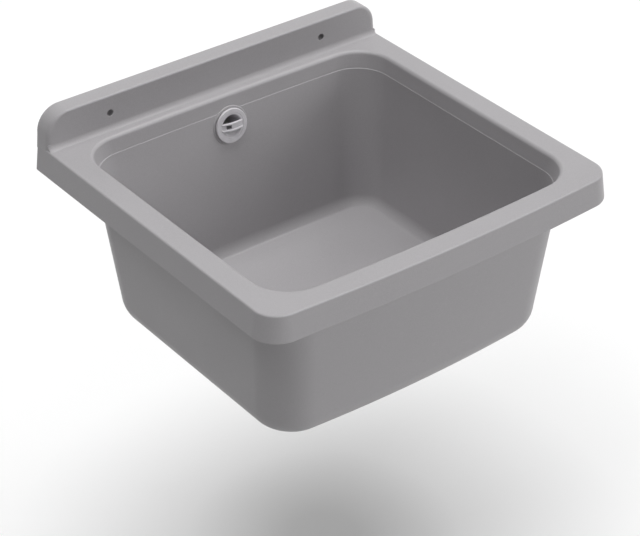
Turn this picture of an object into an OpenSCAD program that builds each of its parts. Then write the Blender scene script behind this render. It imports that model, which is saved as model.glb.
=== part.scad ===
// Wall-hung utility sink for outdoor use. One moulded basin has a drilled splashback, a flared
// skirt and a leaning bowl. It carries a screw-in overflow rosette with its elbow and pipe, and a
// strainer waste with a lift-out plug.
// Millimetres. +Z is up, +X is to the right of someone facing the wall, and the wall is the plane
// Y = 0. The origin is midway between the two wall screw holes, on the wall plane.

/* [Deck and skirt] */
// Width of the deck between its outer edges
deck_w = 544; // [530:2:580]
// Depth of the deck from the wall to its front corners
deck_d = 506; // [502:2:540]
// How far the middle of the front edge bows out past its corners
front_bow = 10; // [7:1:14]
// Plan radius of the two front corners
deck_corner_r = 31; // [24:1:38]
// Height of the skirt that hangs from the deck
skirt_h = 37; // [32:1:44]
// How much wider the skirt is at its foot than at the deck, each side
skirt_flare = 4.5; // [3:0.5:7]
// Wall thickness of the moulding
wall = 4.5; // [4:0.25:5.5]
// Rounding of the outer edge of the deck
deck_edge_r = 2.5; // [2:0.25:4]
// Thickness of the stiffening ribs
rib_t = 3; // [2.5:0.25:4]

/* [Splashback] */
// Height of the splashback above the deck
splash_h = 50; // [46:1:60]
// Thickness of the splashback from the wall to its front face
splash_t = 26; // [24:1:28]
// Radius of its two upper corners
splash_corner_r = 33; // [24:1:36]
// Rounding of its upper front edge
splash_edge_r = 3; // [2:0.5:4]
// Rounding between its face and its two ends
splash_end_r = 8; // [5:0.5:10]
// Radius of the hollow where its face meets the deck
splash_foot_r = 11; // [6:0.5:13]
// Distance between the two wall screw holes
screw_spacing = 348; // [320:2:380]
// Height of the screw holes above the deck
screw_above_deck = 24; // [20:1:29]
// Diameter of each screw hole
screw_hole_d = 9; // [7:0.5:10]
// Chamfer at the mouth of each screw hole
screw_chamfer = 0.8; // [0.4:0.1:1.2]

/* [Bowl] */
// Width of the bowl at its mouth
mouth_w = 474; // [450:2:476]
// Distance from the wall to the back of the mouth
mouth_back = 46.5; // [45.5:0.5:52]
// Distance from the wall to the front corners of the mouth
mouth_front = 474.5; // [456:0.5:476]
// How far the front of the mouth bows out
mouth_bow = 7; // [4:1:9]
// How far the middle of the bowl's back bows towards the wall
back_bow = 2.7; // [1:0.1:3.5]
// Plan radius of the bowl's corners at the mouth
mouth_corner_r = 50; // [42:1:56]
// Plan radius of the bowl's corners at the floor
floor_corner_r = 42; // [38:1:50]
// Rounding from the deck down into the bowl
lip_r = 4.5; // [3:0.5:6]
// Depth of the upright band below the mouth
band_h = 23; // [18:1:26]
// How much the band leans in at the sides and the front
band_lean = 3.5; // [2:0.5:5]
// How much the band leans in at the back
band_lean_back = 1.5; // [1:0.25:3]
// Width of the small step at the foot of the band
step_w = 2; // [1.5:0.1:3.5]
// Depth of the bowl from the deck to the edge of its floor
bowl_depth = 231.5; // [215:1.5:260]
// How much each side wall leans in from the step to the floor
lean_side = 14.5; // [12:0.5:20]
// How much the back wall leans in
lean_back = 27.5; // [20:0.5:30]
// How much the front wall leans in
lean_front = 16.5; // [14:0.5:24]
// Radius by which the walls round in towards the floor
floor_r = 30; // [22:1:36]
// Angle through which they have turned where they meet the floor
floor_turn = 45; // [35:1:60]
// Small radius in the corner between them and the floor
crease_r = 3; // [2:0.5:5]
// Fall of the floor from its edge to the drain
floor_fall = 8.5; // [6:0.5:10]
// Thickness of the side walls just under the deck
side_wall_top = 7.5; // [5:0.25:9]
// Thickness of the front wall just under the deck
front_wall_top = 8.5; // [6:0.25:9]
// Thickness of the back wall just under the deck
back_wall_top = 7.25; // [5:0.25:8]

/* [Waste] */
// Distance from the wall to the drain
drain_back = 262; // [245:1:280]
// Diameter of the drain hole in the moulding
drain_hole_d = 54; // [53:0.5:56]
// Outer diameter of the steel strainer
strainer_d = 72; // [70:1:78]
// Thickness of the strainer's sheet
strainer_sheet = 1.5; // [1:0.1:1.8]
// Inner diameter of the strainer's cup at its mouth
cup_mouth_d = 49; // [47:0.5:49.5]
// Inner diameter of the strainer's cup at its foot
cup_foot_d = 41; // [39:0.5:42]
// Depth of the strainer's cup
cup_depth = 15; // [14:0.5:17]
// Number of holes in the strainer
strainer_holes = 8; // [6:1:9]
// Diameter of each strainer hole
strainer_hole_d = 7; // [5:0.25:7.5]
// Outer diameter of the threaded outlet, for an inch-and-a-half trap
outlet_d = 47.8; // [46:0.1:49]
// Length of the threaded outlet
outlet_h = 24; // [20:1:30]
// Height of the waste body's chamber between its flange and the outlet
chamber_h = 38; // [37:1:46]
// Wall of the waste fitting and the elbow
fitting_wall = 3; // [2.5:0.25:3.5]
// Diameter of the strainer screw
screw_d = 6; // [5:0.5:6]

/* [Plug] */
// Clearance between the plug's side and the strainer's cup
plug_clearance = 0.3; // [0.2:0.05:0.5]
// Height of the plug's crown above the strainer's rim
plug_crown_h = 2.5; // [2:0.25:4]
// Radius of the eye, at the middle of its wire
eye_r = 4; // [3.5:0.25:5]
// Radius of the eye's wire
eye_wire_r = 1; // [0.8:0.1:1.2]
// Radius of the pull ring, at the middle of its wire
ring_r = 11; // [9:0.5:12]
// Radius of the pull ring's wire
ring_wire_r = 0.8; // [0.6:0.1:1]

/* [Overflow] */
// Distance of the overflow's centre below the deck
overflow_drop = 44.5; // [42:0.5:50]
// Diameter of the flat seat round the overflow
overflow_seat_d = 60; // [58:1:62]
// Outer diameter of the rosette
rosette_d = 49.5; // [48:0.5:54]
// Thickness of the rosette's rim
rosette_rim_t = 4; // [3:0.25:5]
// Outer diameter of the rosette's threaded neck
neck_d = 36; // [35:0.5:37]
// Bore of the rosette
rosette_bore_d = 30; // [28:0.5:31]
// Length of the grip bar across the rosette
grip_w = 36; // [33:1:40]
// Height of the grip bar
grip_h = 11.4; // [9:0.2:12]
// How far the grip bar arches out
grip_rise = 4.5; // [4:0.5:6]
// Outer diameter of the overflow pipe
pipe_d = 20; // [18:0.5:21]
// Wall of the overflow pipe
pipe_wall = 1.8; // [1.4:0.1:2.2]
// Radius of the pipe's bend, at its middle
pipe_bend_r = 60; // [50:2:64]

/* [Hidden] */
$fn = 64;

moulded_grey = [0.44, 0.44, 0.45];
rosette_grey = [0.76, 0.76, 0.78];
fitting_white = [0.9, 0.9, 0.88];
rubber_black = [0.06, 0.06, 0.06];
steel = [0.72, 0.73, 0.74];
brass = [0.78, 0.62, 0.3];

// Overrun of every cut past the face it opens
over = 1;
// Radial clearance of a screwed or pushed fit between two fixed pieces
fit = 0.06;
// Heights below are measured from the deck, which lies this far below the origin
deck_z = -screw_above_deck;

module at_deck() {
    translate([0, 0, deck_z]) children();
}

// Puts a shape on the plane at distance back from the wall, its own +Z towards the room
module facing_room(back, drop) {
    translate([0, -back, -drop]) rotate([90, 0, 0]) children();
}

// Plan outlines and lofts of the moulding.
// Segments in each corner of an outline, and along its bowed front and back
corner_segments = 8;
bow_segments = 10;
// Segments in each rounded edge
edge_segments = 3;

// One corner of an outline: its centre, its radius and the angle that it starts from
function corner(cx, cy, r, from) =
    [for (i = [0:corner_segments]) let (a = from + 90 * i / corner_segments)
        [cx + r * cos(a), cy + r * sin(a)]];

// A rounded rectangle seen from above. half_w is half its width, back and front are its distances
// from the wall, back_r and front_r are its corner radii, its front edge bows out by bow, and its
// back edge bows towards the wall by rear_bow.
function outline(half_w, back, front, back_r, front_r, bow, rear_bow = 0) =
    let (bx = half_w - back_r, by = -back - back_r, fx = half_w - front_r, fy = -front + front_r,
         plain = concat(corner(bx, by, back_r, 0),
                        [for (i = [1:bow_segments - 1]) [bx - 2 * bx * i / bow_segments, -back]],
                        corner(-bx, by, back_r, 90), corner(-fx, fy, front_r, 180),
                        [for (i = [1:bow_segments - 1]) [-fx + 2 * fx * i / bow_segments, -front]],
                        corner(fx, fy, front_r, 270)))
    [for (p = plain) let (share = 1 - pow(p.x / half_w, 2))
        [p.x, p.y - (p.y <= fy ? bow * share : 0) + (p.y >= by ? rear_bow * share : 0)]];

// A ring of a loft: an outline at height z
function at_height(points, z) = [for (p = points) [p.x, p.y, z]];

// The closed solid inside rings that all have the same number of points
module loft(rings) {
    n = len(rings[0]);
    last = len(rings) - 1;
    polyhedron(
        points = [for (ring = rings) each ring],
        faces = concat(
            [[for (i = [n - 1:-1:0]) i]],
            [for (k = [0:last - 1], i = [0:n - 1]) each
                let (j = (i + 1) % n, a = k * n + i, b = k * n + j)
                [[a, b, b + n], [a, b + n, a + n]]],
            [[for (i = [0:n - 1]) last * n + i]]));
}

// Basin.
// Share of the way from the step down to the floor's edge at a depth below the deck
function lean_share(drop) = (drop - band_h) / (bowl_depth - band_h);
function blend(top, foot, share) = top + (foot - top) * share;

// Half width, back and front of the bowl's inside, just under the step
step_half = mouth_w / 2 - band_lean - step_w;
step_back = mouth_back + band_lean_back + step_w;
step_front = mouth_front - band_lean - step_w;

// Inside of the bowl at a depth below the step, drawn in by inset
function bowl_inside(drop, inset) =
    let (s = lean_share(drop), r = blend(mouth_corner_r, floor_corner_r, s) - inset)
    outline(step_half - lean_side * s - inset, step_back + lean_back * s + inset,
            step_front - lean_front * s - inset, r, r, mouth_bow, back_bow);

// Outside of the bowl at a depth below the deck, drawn in by inset
function bowl_outside(drop, inset) =
    let (s = lean_share(drop), r = blend(mouth_corner_r, floor_corner_r, s) + wall - inset)
    outline(outer_half(drop) - inset, outer_back(drop) + inset, outer_front(drop) - inset, r, r,
            front_bow, back_bow);
function outer_half(drop) =
    step_half - lean_side * lean_share(drop) + blend(side_wall_top, wall, lean_share(drop));
function outer_back(drop) =
    step_back + lean_back * lean_share(drop) - blend(back_wall_top, wall, lean_share(drop));
function outer_front(drop) =
    step_front - lean_front * lean_share(drop) + blend(front_wall_top, wall, lean_share(drop));

// The band between the mouth and the step: share is 0 at the mouth and 1 at its foot
function band(share, inset) =
    outline(mouth_w / 2 - band_lean * share - inset, mouth_back + band_lean_back * share + inset,
            mouth_front - band_lean * share - inset, mouth_corner_r - inset,
            mouth_corner_r - inset, mouth_bow, back_bow);

// Outer edge of the deck and skirt, which stays flat against the wall at the back
skirt_back_r = 3;
function skirt(drop, inset, back) =
    let (flare = skirt_flare * drop / skirt_h)
    outline(deck_w / 2 + flare - inset, back, deck_d + flare - inset, skirt_back_r,
            deck_corner_r + flare - inset, front_bow);

// Rounding at the foot of the skirt
skirt_foot_r = 1.5;
// Radius of the level floor round the drain
drain_margin = 8;
drain_flat_r = strainer_d / 2 + drain_margin;
drain_corner_share = 0.85;
floor_drop = bowl_depth + floor_fall;

// The foot of the walls follows a large radius r to an angle turn, and a small one from there. Each
// of these gives how far it has gone where it has turned by a: rounding_in towards the middle of
// the bowl, and rounding_down below its start.
function rounding_in(a, r, small_r, turn) =
    a <= turn ? r * (1 - cos(a)) : r * (1 - cos(turn)) + small_r * (cos(turn) - cos(a));
function rounding_down(a, r, small_r, turn) =
    a <= turn ? r * sin(a) : r * sin(turn) + small_r * (sin(a) - sin(turn));
rounding_drop = bowl_depth - rounding_down(90, floor_r, crease_r, floor_turn);

// The outside starts to round a little lower, and turns a little further before its own edge
outer_rounding_setback = 4.2;
outer_rounding_drop = rounding_drop + outer_rounding_setback;
outer_floor_r = floor_r + wall;
outer_turn = floor_turn + 6;
outer_edge_r = 5;

function drain_flat(drop) =
    at_height(outline(drain_flat_r, drain_back - drain_flat_r, drain_back + drain_flat_r,
                      drain_flat_r * drain_corner_share, drain_flat_r * drain_corner_share, 0),
              -drop);

function round_share(i, count) = 90 * i / count;
// Angles at which the foot of the walls has its rings: even steps to the turn, and three more
turn_segments = 4;
crease_segments = 3;
function foot_angles(turn) = concat(
    [for (i = [0:turn_segments]) turn * i / turn_segments],
    [for (i = [1:crease_segments]) turn + (90 - turn) * i / crease_segments]);
foot_rings = turn_segments + crease_segments;

basin_rings = concat(
    [drain_flat(floor_drop)],
    [for (i = [foot_rings:-1:0]) let (
            a = foot_angles(floor_turn)[i],
            drop = rounding_drop + rounding_down(a, floor_r, crease_r, floor_turn))
        at_height(bowl_inside(drop, rounding_in(a, floor_r, crease_r, floor_turn)), -drop)],
    [at_height(bowl_inside(band_h + step_w, 0), -band_h - step_w)],
    [at_height(bowl_inside(band_h, 0), -band_h)],
    [at_height(band(1, 0), -band_h)],
    [for (i = [0:edge_segments]) let (a = round_share(i, edge_segments))
        at_height(band(0, lip_r * (cos(a) - 1)), -lip_r * (1 - sin(a)))],
    [for (i = [0:edge_segments]) let (a = round_share(i, edge_segments))
        at_height(skirt(0, deck_edge_r * (1 - sin(a)), 0), -deck_edge_r * (1 - cos(a)))],
    [at_height(skirt(skirt_h - skirt_foot_r, 0, 0), skirt_foot_r - skirt_h)],
    [at_height(skirt(skirt_h, skirt_foot_r, skirt_foot_r), -skirt_h)],
    [at_height(skirt(skirt_h, wall - skirt_foot_r, wall - skirt_foot_r), -skirt_h)],
    [at_height(skirt(skirt_h - skirt_foot_r, wall, wall), skirt_foot_r - skirt_h)],
    [at_height(skirt(wall, wall, wall), -wall)],
    [at_height(bowl_outside(wall, 0), -wall)],
    [for (i = [0:foot_rings]) let (
            a = foot_angles(outer_turn)[i],
            drop = outer_rounding_drop
                + rounding_down(a, outer_floor_r, outer_edge_r, outer_turn))
        at_height(bowl_outside(drop, rounding_in(a, outer_floor_r, outer_edge_r, outer_turn)),
                  -drop)],
    [drain_flat(floor_drop + wall)]);

// How far a face is drawn in at a depth behind it, where its edge has radius r
function drawn_in(depth, r) = depth < r ? r - sqrt(r * r - pow(r - depth, 2)) : 0;

// Front view of the splashback at a depth behind its face. Its ends are rounded more than its top.
function splash_outline(depth) =
    let (end_in = drawn_in(depth, splash_end_r), top_in = drawn_in(depth, splash_edge_r),
         half = deck_w / 2 - end_in, top = splash_h - top_in,
         rx = splash_corner_r - end_in, rz = splash_corner_r - top_in,
         arc = [for (i = [0:corner_segments]) let (a = round_share(i, corner_segments))
             [half - rx + rx * cos(a), top - rz + rz * sin(a)]])
    concat(arc, [for (i = [corner_segments:-1:0]) [-arc[i].x, arc[i].y]],
           [[-half, -wall], [half, -wall]]);

splash_depth_shares = [0, 0.1, 0.3, 0.6, 1];
splash_depths = concat([for (share = splash_depth_shares) share * splash_edge_r],
                       [for (share = splash_depth_shares) if (share * splash_end_r > splash_edge_r)
                           share * splash_end_r]);
splash_rings = concat(
    [for (depth = splash_depths) at_height(splash_outline(depth), splash_t - depth)],
    [at_height(splash_outline(splash_t), 0)]);

module splash_shell() {
    facing_room(0, 0) loft(splash_rings);
    // The hollow where the face meets the deck
    translate([-deck_w / 2 + deck_edge_r, -splash_t, 0]) rotate([90, 0, 90])
        linear_extrude(deck_w - 2 * deck_edge_r) mirror([1, 0])
            difference() {
                translate([-wall, -wall]) square(splash_foot_r + wall);
                translate([splash_foot_r, splash_foot_r]) circle(splash_foot_r);
            }
}

// Stiffening ribs between the bowl and the skirt
rib_setback = 8;
rib_h = skirt_h - rib_setback;
rib_bite = wall / 2;
side_rib_shares = [0.3, 0.52, 0.74];
front_rib_shares = [-0.27, 0, 0.27];
back_rib_shares = [-0.36, -0.16, 0.16, 0.36];
function flare_at(drop) = skirt_flare * drop / skirt_h;
function bowed(x, half_w, bow) = bow * (1 - pow(x / half_w, 2));
function front_of_bowl(x, drop) = outer_front(drop) + bowed(x, outer_half(drop), front_bow);
function back_of_bowl(x, drop) = outer_back(drop) - bowed(x, outer_half(drop), back_bow);
function front_of_skirt(x, drop) =
    deck_d + flare_at(drop) + bowed(x, deck_w / 2 + flare_at(drop), front_bow);

// A rib in the XZ plane at a distance back from the wall
module side_rib(back) {
    facing_room(back - rib_t / 2, 0) linear_extrude(rib_t)
        polygon([[outer_half(wall) - rib_bite, -rib_bite],
                 [deck_w / 2 - rib_bite, -rib_bite],
                 [deck_w / 2 + flare_at(rib_h) - rib_bite, -rib_h],
                 [outer_half(rib_h) - rib_bite, -rib_h]]);
}

// A rib in the YZ plane between two pairs of distances from the wall
module cross_rib(x, near_top, near_foot, far_top, far_foot, top, foot) {
    translate([x - rib_t / 2, 0, 0]) rotate([90, 0, 90]) linear_extrude(rib_t)
        polygon([[-near_top, top], [-near_foot, foot], [-far_foot, foot], [-far_top, top]]);
}

module deck_ribs() {
    for (share = side_rib_shares) {
        side_rib(deck_d * share);
        mirror([1, 0, 0]) side_rib(deck_d * share);
    }
    for (share = front_rib_shares) {
        x = deck_w * share;
        cross_rib(x, front_of_bowl(x, wall) - rib_bite, front_of_bowl(x, rib_h) - rib_bite,
                  front_of_skirt(x, 0) - rib_bite, front_of_skirt(x, rib_h) - rib_bite,
                  -rib_bite, -rib_h);
    }
    for (share = back_rib_shares) {
        x = deck_w * share;
        cross_rib(x, rib_bite, rib_bite, back_of_bowl(x, wall) + rib_bite,
                  back_of_bowl(x, rib_h) + rib_bite, -rib_bite, -rib_h);
    }
}

// The splashback is hollow and open to the wall, with ribs and two screw bosses inside
screw_boss_wall = 4;
splash_rib_shares = [-0.42, -0.22, -0.08, 0.08, 0.22, 0.42];
module splash_hollow() {
    r = splash_corner_r - wall;
    translate([0, over, 0]) facing_room(0, 0)
        linear_extrude(splash_t - wall + over)
            difference() {
                translate([-deck_w / 2 + wall, 0]) square([deck_w - 2 * wall, splash_h - wall]);
                for (side = [-1, 1])
                    translate([side * (deck_w / 2 - wall - r), splash_h - wall - r])
                        difference() {
                            translate([side > 0 ? 0 : -r - over, 0]) square(r + over);
                            circle(r);
                        }
            }
}
module splash_ribs() {
    for (share = splash_rib_shares)
        cross_rib(deck_w * share, 0, 0, splash_t - rib_bite, splash_t - rib_bite,
                  splash_h - rib_bite, -rib_bite);
}
module screw_positions() {
    for (side = [-1, 1])
        translate([side * screw_spacing / 2, 0, screw_above_deck]) rotate([90, 0, 0]) children();
}

// Overflow seat inside the bowl, and the flat outside that the elbow is clamped to. Both lean as
// the back wall does, and the seat stands a little proud of it.
overflow_lean = atan(lean_back / (bowl_depth - band_h));
seat_proud = 0.4;
seat_edge_r = 1;
seat_t = 4;
overflow_seat_back = step_back - back_bow + lean_back * lean_share(overflow_drop) + seat_proud;
clamp_w = 9;
clamp_d = neck_d + 2 * clamp_w;
clamp_proud = 0.7;
clamp_t = seat_proud + blend(back_wall_top, wall, lean_share(overflow_drop)) + clamp_proud;
neck_clearance = 0.4;

// Puts a shape on the overflow's seat, its own +Z square to the seat and towards the room
module at_overflow(depth = 0) {
    translate([0, -overflow_seat_back, -overflow_drop]) rotate([90 - overflow_lean, 0, 0])
        translate([0, 0, -depth]) children();
}

// Drain seat. Its recess holds the strainer's rim on a gasket.
strainer_gasket_t = 1.5;
recess_clearance = 0.4;
recess_depth = strainer_sheet + strainer_gasket_t;
drain_seat_drop = floor_drop + recess_depth;
drain_boss_drop = drain_seat_drop + wall;

module at_drain(drop) {
    translate([0, -drain_back, -drop]) children();
}

module basin() {
    color(moulded_grey) at_deck() {
        difference() {
            union() {
                loft(basin_rings);
                difference() {
                    splash_shell();
                    splash_hollow();
                }
                splash_ribs();
                deck_ribs();
                screw_positions()
                    cylinder(d = screw_hole_d + 2 * screw_boss_wall, h = splash_t - rib_bite);
                at_overflow(clamp_t) cylinder(d = clamp_d, h = rib_bite);
                at_overflow(seat_t) rotate_extrude() polygon(concat(
                    [[0, 0], [overflow_seat_d / 2, 0]],
                    [for (i = [0:edge_segments]) let (a = round_share(i, edge_segments))
                        [overflow_seat_d / 2 - seat_edge_r * (1 - cos(a)),
                         seat_t - seat_edge_r * (1 - sin(a))]],
                    [[0, seat_t]]));
                at_drain(drain_boss_drop)
                    cylinder(r = drain_flat_r, h = drain_boss_drop - floor_drop - rib_bite);
            }
            screw_positions() translate([0, 0, -over])
                cylinder(d = screw_hole_d, h = splash_t + 2 * over);
            screw_positions() translate([0, 0, splash_t - screw_chamfer])
                cylinder(r1 = screw_hole_d / 2, r2 = screw_hole_d / 2 + screw_chamfer + over,
                         h = screw_chamfer + over);
            at_overflow(clamp_t + over)
                cylinder(r = neck_d / 2 + neck_clearance, h = clamp_t + 2 * over);
            at_drain(drain_seat_drop)
                cylinder(r = strainer_d / 2 + recess_clearance, h = recess_depth + over);
            at_drain(drain_boss_drop + over)
                cylinder(d = drain_hole_d, h = drain_boss_drop - floor_drop + 2 * over);
        }
    }
}

// Overflow rosette. Its rim sits on the seat and its neck reaches through the wall into the elbow.
overflow_gasket_t = 3;
gasket_setback = 1;
neck_grip = 11;
neck_len = clamp_t + overflow_gasket_t + neck_grip;
rosette_edge_r = 1.6;
rosette_dish = 1.2;
grip_t = 2.6;
grip_rib_h = 2.4;
grip_rib_proud = 1.2;
chain_hole_w = 8;
chain_hole_h = 5.6;
chain_hole_x = -6.3;
chain_hole_z = 0.5;
// The grip bar follows a circle through its two ends and the top of its arch
grip_arc_r = (pow(grip_w / 2, 2) + pow(grip_rise, 2)) / (2 * grip_rise);
grip_foot = rosette_rim_t - rosette_dish - grip_t;

module grip_arc(thickness, height) {
    translate([0, height / 2, grip_foot]) rotate([90, 0, 0]) linear_extrude(height)
        intersection() {
            translate([0, grip_rise - grip_arc_r]) difference() {
                circle(grip_arc_r + thickness);
                circle(grip_arc_r);
            }
            translate([-grip_w / 2, 0]) square([grip_w, grip_rise + thickness + over]);
        }
}

module overflow_rosette() {
    color(rosette_grey) at_deck() at_overflow() {
        difference() {
            union() {
                rotate_extrude() polygon(concat(
                    [[rosette_bore_d / 2, -neck_len], [neck_d / 2, -neck_len], [neck_d / 2, 0],
                     [rosette_d / 2, 0]],
                    [for (a = [0:30:90])
                        [rosette_d / 2 - rosette_edge_r * (1 - cos(a)),
                         rosette_rim_t - rosette_edge_r * (1 - sin(a))]],
                    [[rosette_bore_d / 2 + rosette_dish, rosette_rim_t],
                     [rosette_bore_d / 2, rosette_rim_t - rosette_dish]]));
                grip_arc(grip_t, grip_h);
                for (side = [-1, 1])
                    translate([0, side * (grip_h - grip_rib_h) / 2, 0])
                        grip_arc(grip_t + grip_rib_proud, grip_rib_h);
            }
            translate([chain_hole_x - chain_hole_w / 2, chain_hole_z - chain_hole_h / 2, 0])
                cube([chain_hole_w, chain_hole_h, grip_rise + rosette_rim_t + grip_t + over]);
        }
    }
}

// Overflow gasket
module overflow_gasket() {
    color(rubber_black) at_deck() at_overflow(elbow_front_depth) difference() {
        cylinder(r = clamp_d / 2 - gasket_setback, h = overflow_gasket_t);
        translate([0, 0, -over])
            cylinder(r = neck_d / 2 + neck_clearance, h = overflow_gasket_t + 2 * over);
    }
}

// Pipe unions. A spout's mouth is at Z = 0, and the pipe comes to it from below.
spout_wall = 4.5;
spout_r = pipe_d / 2 + spout_wall;
pipe_play = 0.3;
spout_bore_r = pipe_d / 2 + pipe_play;
seat_cone_h = 4;
spout_lip_w = 1.6;
seat_cone_r = spout_r - spout_lip_w;
pipe_insert = 12;
seal_lip = 2;
nut_reach = 11;
nut_wall = 3;
nut_lip_t = 2.5;
nut_lugs = 12;
lug_w = 3;
lug_h = 1.2;

module spout_bore(length) {
    translate([0, 0, -over]) cylinder(r = spout_bore_r, h = length + over);
    cylinder(r1 = seat_cone_r, r2 = spout_bore_r, h = seat_cone_h);
}

module pipe_seal() {
    color(rubber_black) rotate_extrude()
        polygon([[pipe_d / 2 + fit, -seal_lip], [seat_cone_r, -seal_lip], [seat_cone_r, -fit],
                 [spout_bore_r - fit, seat_cone_h - 2 * fit],
                 [pipe_d / 2 + fit, seat_cone_h - 2 * fit]]);
}

module pipe_nut() {
    outer_r = spout_r + fit + nut_wall;
    color(fitting_white) difference() {
        union() {
            translate([0, 0, -seal_lip - nut_lip_t])
                cylinder(r = outer_r, h = seal_lip + nut_lip_t + nut_reach);
            for (i = [0:nut_lugs - 1])
                rotate([0, 0, 360 * i / nut_lugs])
                    translate([0, -lug_w / 2, -seal_lip - nut_lip_t])
                        cube([outer_r + lug_h, lug_w, seal_lip + nut_lip_t + nut_reach - lug_h]);
        }
        translate([0, 0, -seal_lip]) cylinder(r = spout_r + fit, h = seal_lip + nut_reach + over);
        translate([0, 0, -seal_lip - nut_lip_t - over])
            cylinder(r = pipe_d / 2 + pipe_play, h = nut_lip_t + 2 * over);
    }
}

// Overflow elbow. Its flange presses the gasket on the bowl's back, its chamber takes the rosette's
// neck, and its spout points straight down. Depths are measured from the seat, square to it.
elbow_flange_t = 4;
elbow_front_depth = clamp_t + overflow_gasket_t;
elbow_reach = 31;
elbow_end_depth = elbow_front_depth + elbow_reach;
elbow_chamber_r = neck_d / 2 + fit + fitting_wall;
elbow_spout_setback = 1;
elbow_spout_back = overflow_seat_back
    - (elbow_end_depth - spout_r - elbow_spout_setback) * cos(overflow_lean);
elbow_spout_h = 46;
elbow_mouth_drop = overflow_drop + elbow_spout_h;

module overflow_elbow() {
    color(fitting_white) at_deck() difference() {
        union() {
            at_overflow(elbow_front_depth + elbow_flange_t) cylinder(d = clamp_d, h = elbow_flange_t);
            at_overflow(elbow_end_depth) cylinder(r = elbow_chamber_r, h = elbow_reach);
            translate([0, -elbow_spout_back, -elbow_mouth_drop])
                cylinder(r = spout_r, h = elbow_spout_h);
        }
        at_overflow(elbow_end_depth - fitting_wall)
            cylinder(r = neck_d / 2 + fit, h = elbow_reach + over);
        translate([0, -elbow_spout_back, -elbow_mouth_drop]) spout_bore(elbow_spout_h);
    }
}

module elbow_pipe_seal() {
    at_deck() translate([0, -elbow_spout_back, -elbow_mouth_drop]) pipe_seal();
}

module elbow_pipe_nut() {
    at_deck() translate([0, -elbow_spout_back, -elbow_mouth_drop]) pipe_nut();
}

// Waste body, below the drain seat
waste_gasket_t = 3;
body_top_drop = drain_boss_drop + waste_gasket_t;
body_flange_t = 4;
body_flange_w = 10;
body_flange_r = drain_hole_d / 2 + body_flange_w;
chamber_step = 2.5;
chamber_bore_r = drain_hole_d / 2 - chamber_step;
chamber_r = chamber_bore_r + fitting_wall;
neck_down_h = 6;
chamber_foot_drop = body_top_drop + chamber_h;
outlet_top_drop = chamber_foot_drop + neck_down_h;
outlet_mouth_drop = outlet_top_drop + outlet_h;
outlet_bore_r = outlet_d / 2 - fitting_wall;
branch_gap = 2;
branch_drop = body_top_drop + body_flange_t + spout_r + branch_gap;
branch_len = 52;
branch_mouth_back = drain_back - branch_len;
branch_entry_share = 0.75;
strainer_foot_drop = floor_drop + cup_depth + strainer_sheet;
boss_gap = 0.5;
boss_top_drop = strainer_foot_drop + boss_gap;
boss_h = 12;
boss_r = 8;
bridge_w = 5;
bridge_h = 9;
nut_across = 10;
nut_h = 5;
screw_clearance = 0.3;
hex_r = nut_across / 2 / cos(30);

module waste_body() {
    color(fitting_white) at_deck() difference() {
        union() {
            at_drain(0) rotate_extrude() polygon([
                [chamber_bore_r, -body_top_drop], [body_flange_r, -body_top_drop],
                [body_flange_r, -body_top_drop - body_flange_t],
                [chamber_r, -body_top_drop - body_flange_t], [chamber_r, -chamber_foot_drop],
                [outlet_d / 2, -outlet_top_drop], [outlet_d / 2, -outlet_mouth_drop],
                [outlet_bore_r, -outlet_mouth_drop], [outlet_bore_r, -outlet_top_drop],
                [chamber_bore_r, -chamber_foot_drop]]);
            difference() {
                facing_room(branch_mouth_back, branch_drop) cylinder(r = spout_r, h = branch_len);
                at_drain(chamber_foot_drop)
                    cylinder(r = (chamber_r + chamber_bore_r) / 2, h = chamber_h);
            }
            at_drain(boss_top_drop + boss_h) cylinder(r = boss_r, h = boss_h);
            at_drain(boss_top_drop + bridge_h)
                translate([-chamber_bore_r - fitting_wall / 2, -bridge_w / 2, 0])
                    cube([2 * chamber_bore_r + fitting_wall, bridge_w, bridge_h]);
        }
        facing_room(branch_mouth_back, branch_drop)
            spout_bore(branch_len - chamber_bore_r * branch_entry_share);
        at_drain(boss_top_drop + boss_h + over) {
            cylinder(r = screw_d / 2 + screw_clearance, h = boss_h + 2 * over);
            cylinder(r = hex_r + fit, h = nut_h + over, $fn = 6);
        }
    }
}

module branch_pipe_seal() {
    at_deck() facing_room(branch_mouth_back, branch_drop) pipe_seal();
}

module branch_pipe_nut() {
    at_deck() facing_room(branch_mouth_back, branch_drop) pipe_nut();
}

// Overflow pipe: down from the elbow, round one bend and along to the waste body
pipe_top_drop = elbow_mouth_drop - pipe_insert;
bend_top_drop = branch_drop - pipe_bend_r;
bend_foot_back = elbow_spout_back + pipe_bend_r;
pipe_end_back = branch_mouth_back + pipe_insert;

module pipe_section() {
    difference() {
        circle(d = pipe_d);
        circle(d = pipe_d - 2 * pipe_wall);
    }
}

module overflow_pipe() {
    color(fitting_white) at_deck() {
        translate([0, -elbow_spout_back, -bend_top_drop])
            linear_extrude(bend_top_drop - pipe_top_drop) pipe_section();
        translate([0, -bend_foot_back, -bend_top_drop]) rotate([90, 0, 90])
            rotate_extrude(angle = -90) translate([pipe_bend_r, 0]) pipe_section();
        facing_room(bend_foot_back, branch_drop)
            linear_extrude(pipe_end_back - bend_foot_back) pipe_section();
    }
}

// Gaskets on each side of the moulding
module waste_gasket() {
    color(rubber_black) at_deck() at_drain(body_top_drop) difference() {
        cylinder(r = body_flange_r - gasket_setback, h = waste_gasket_t);
        translate([0, 0, -over]) cylinder(d = drain_hole_d, h = waste_gasket_t + 2 * over);
    }
}

module strainer_gasket() {
    color(rubber_black) at_deck() at_drain(drain_seat_drop) difference() {
        cylinder(r = strainer_d / 2 - gasket_setback, h = strainer_gasket_t);
        translate([0, 0, -over]) cylinder(d = drain_hole_d, h = strainer_gasket_t + 2 * over);
    }
}

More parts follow.
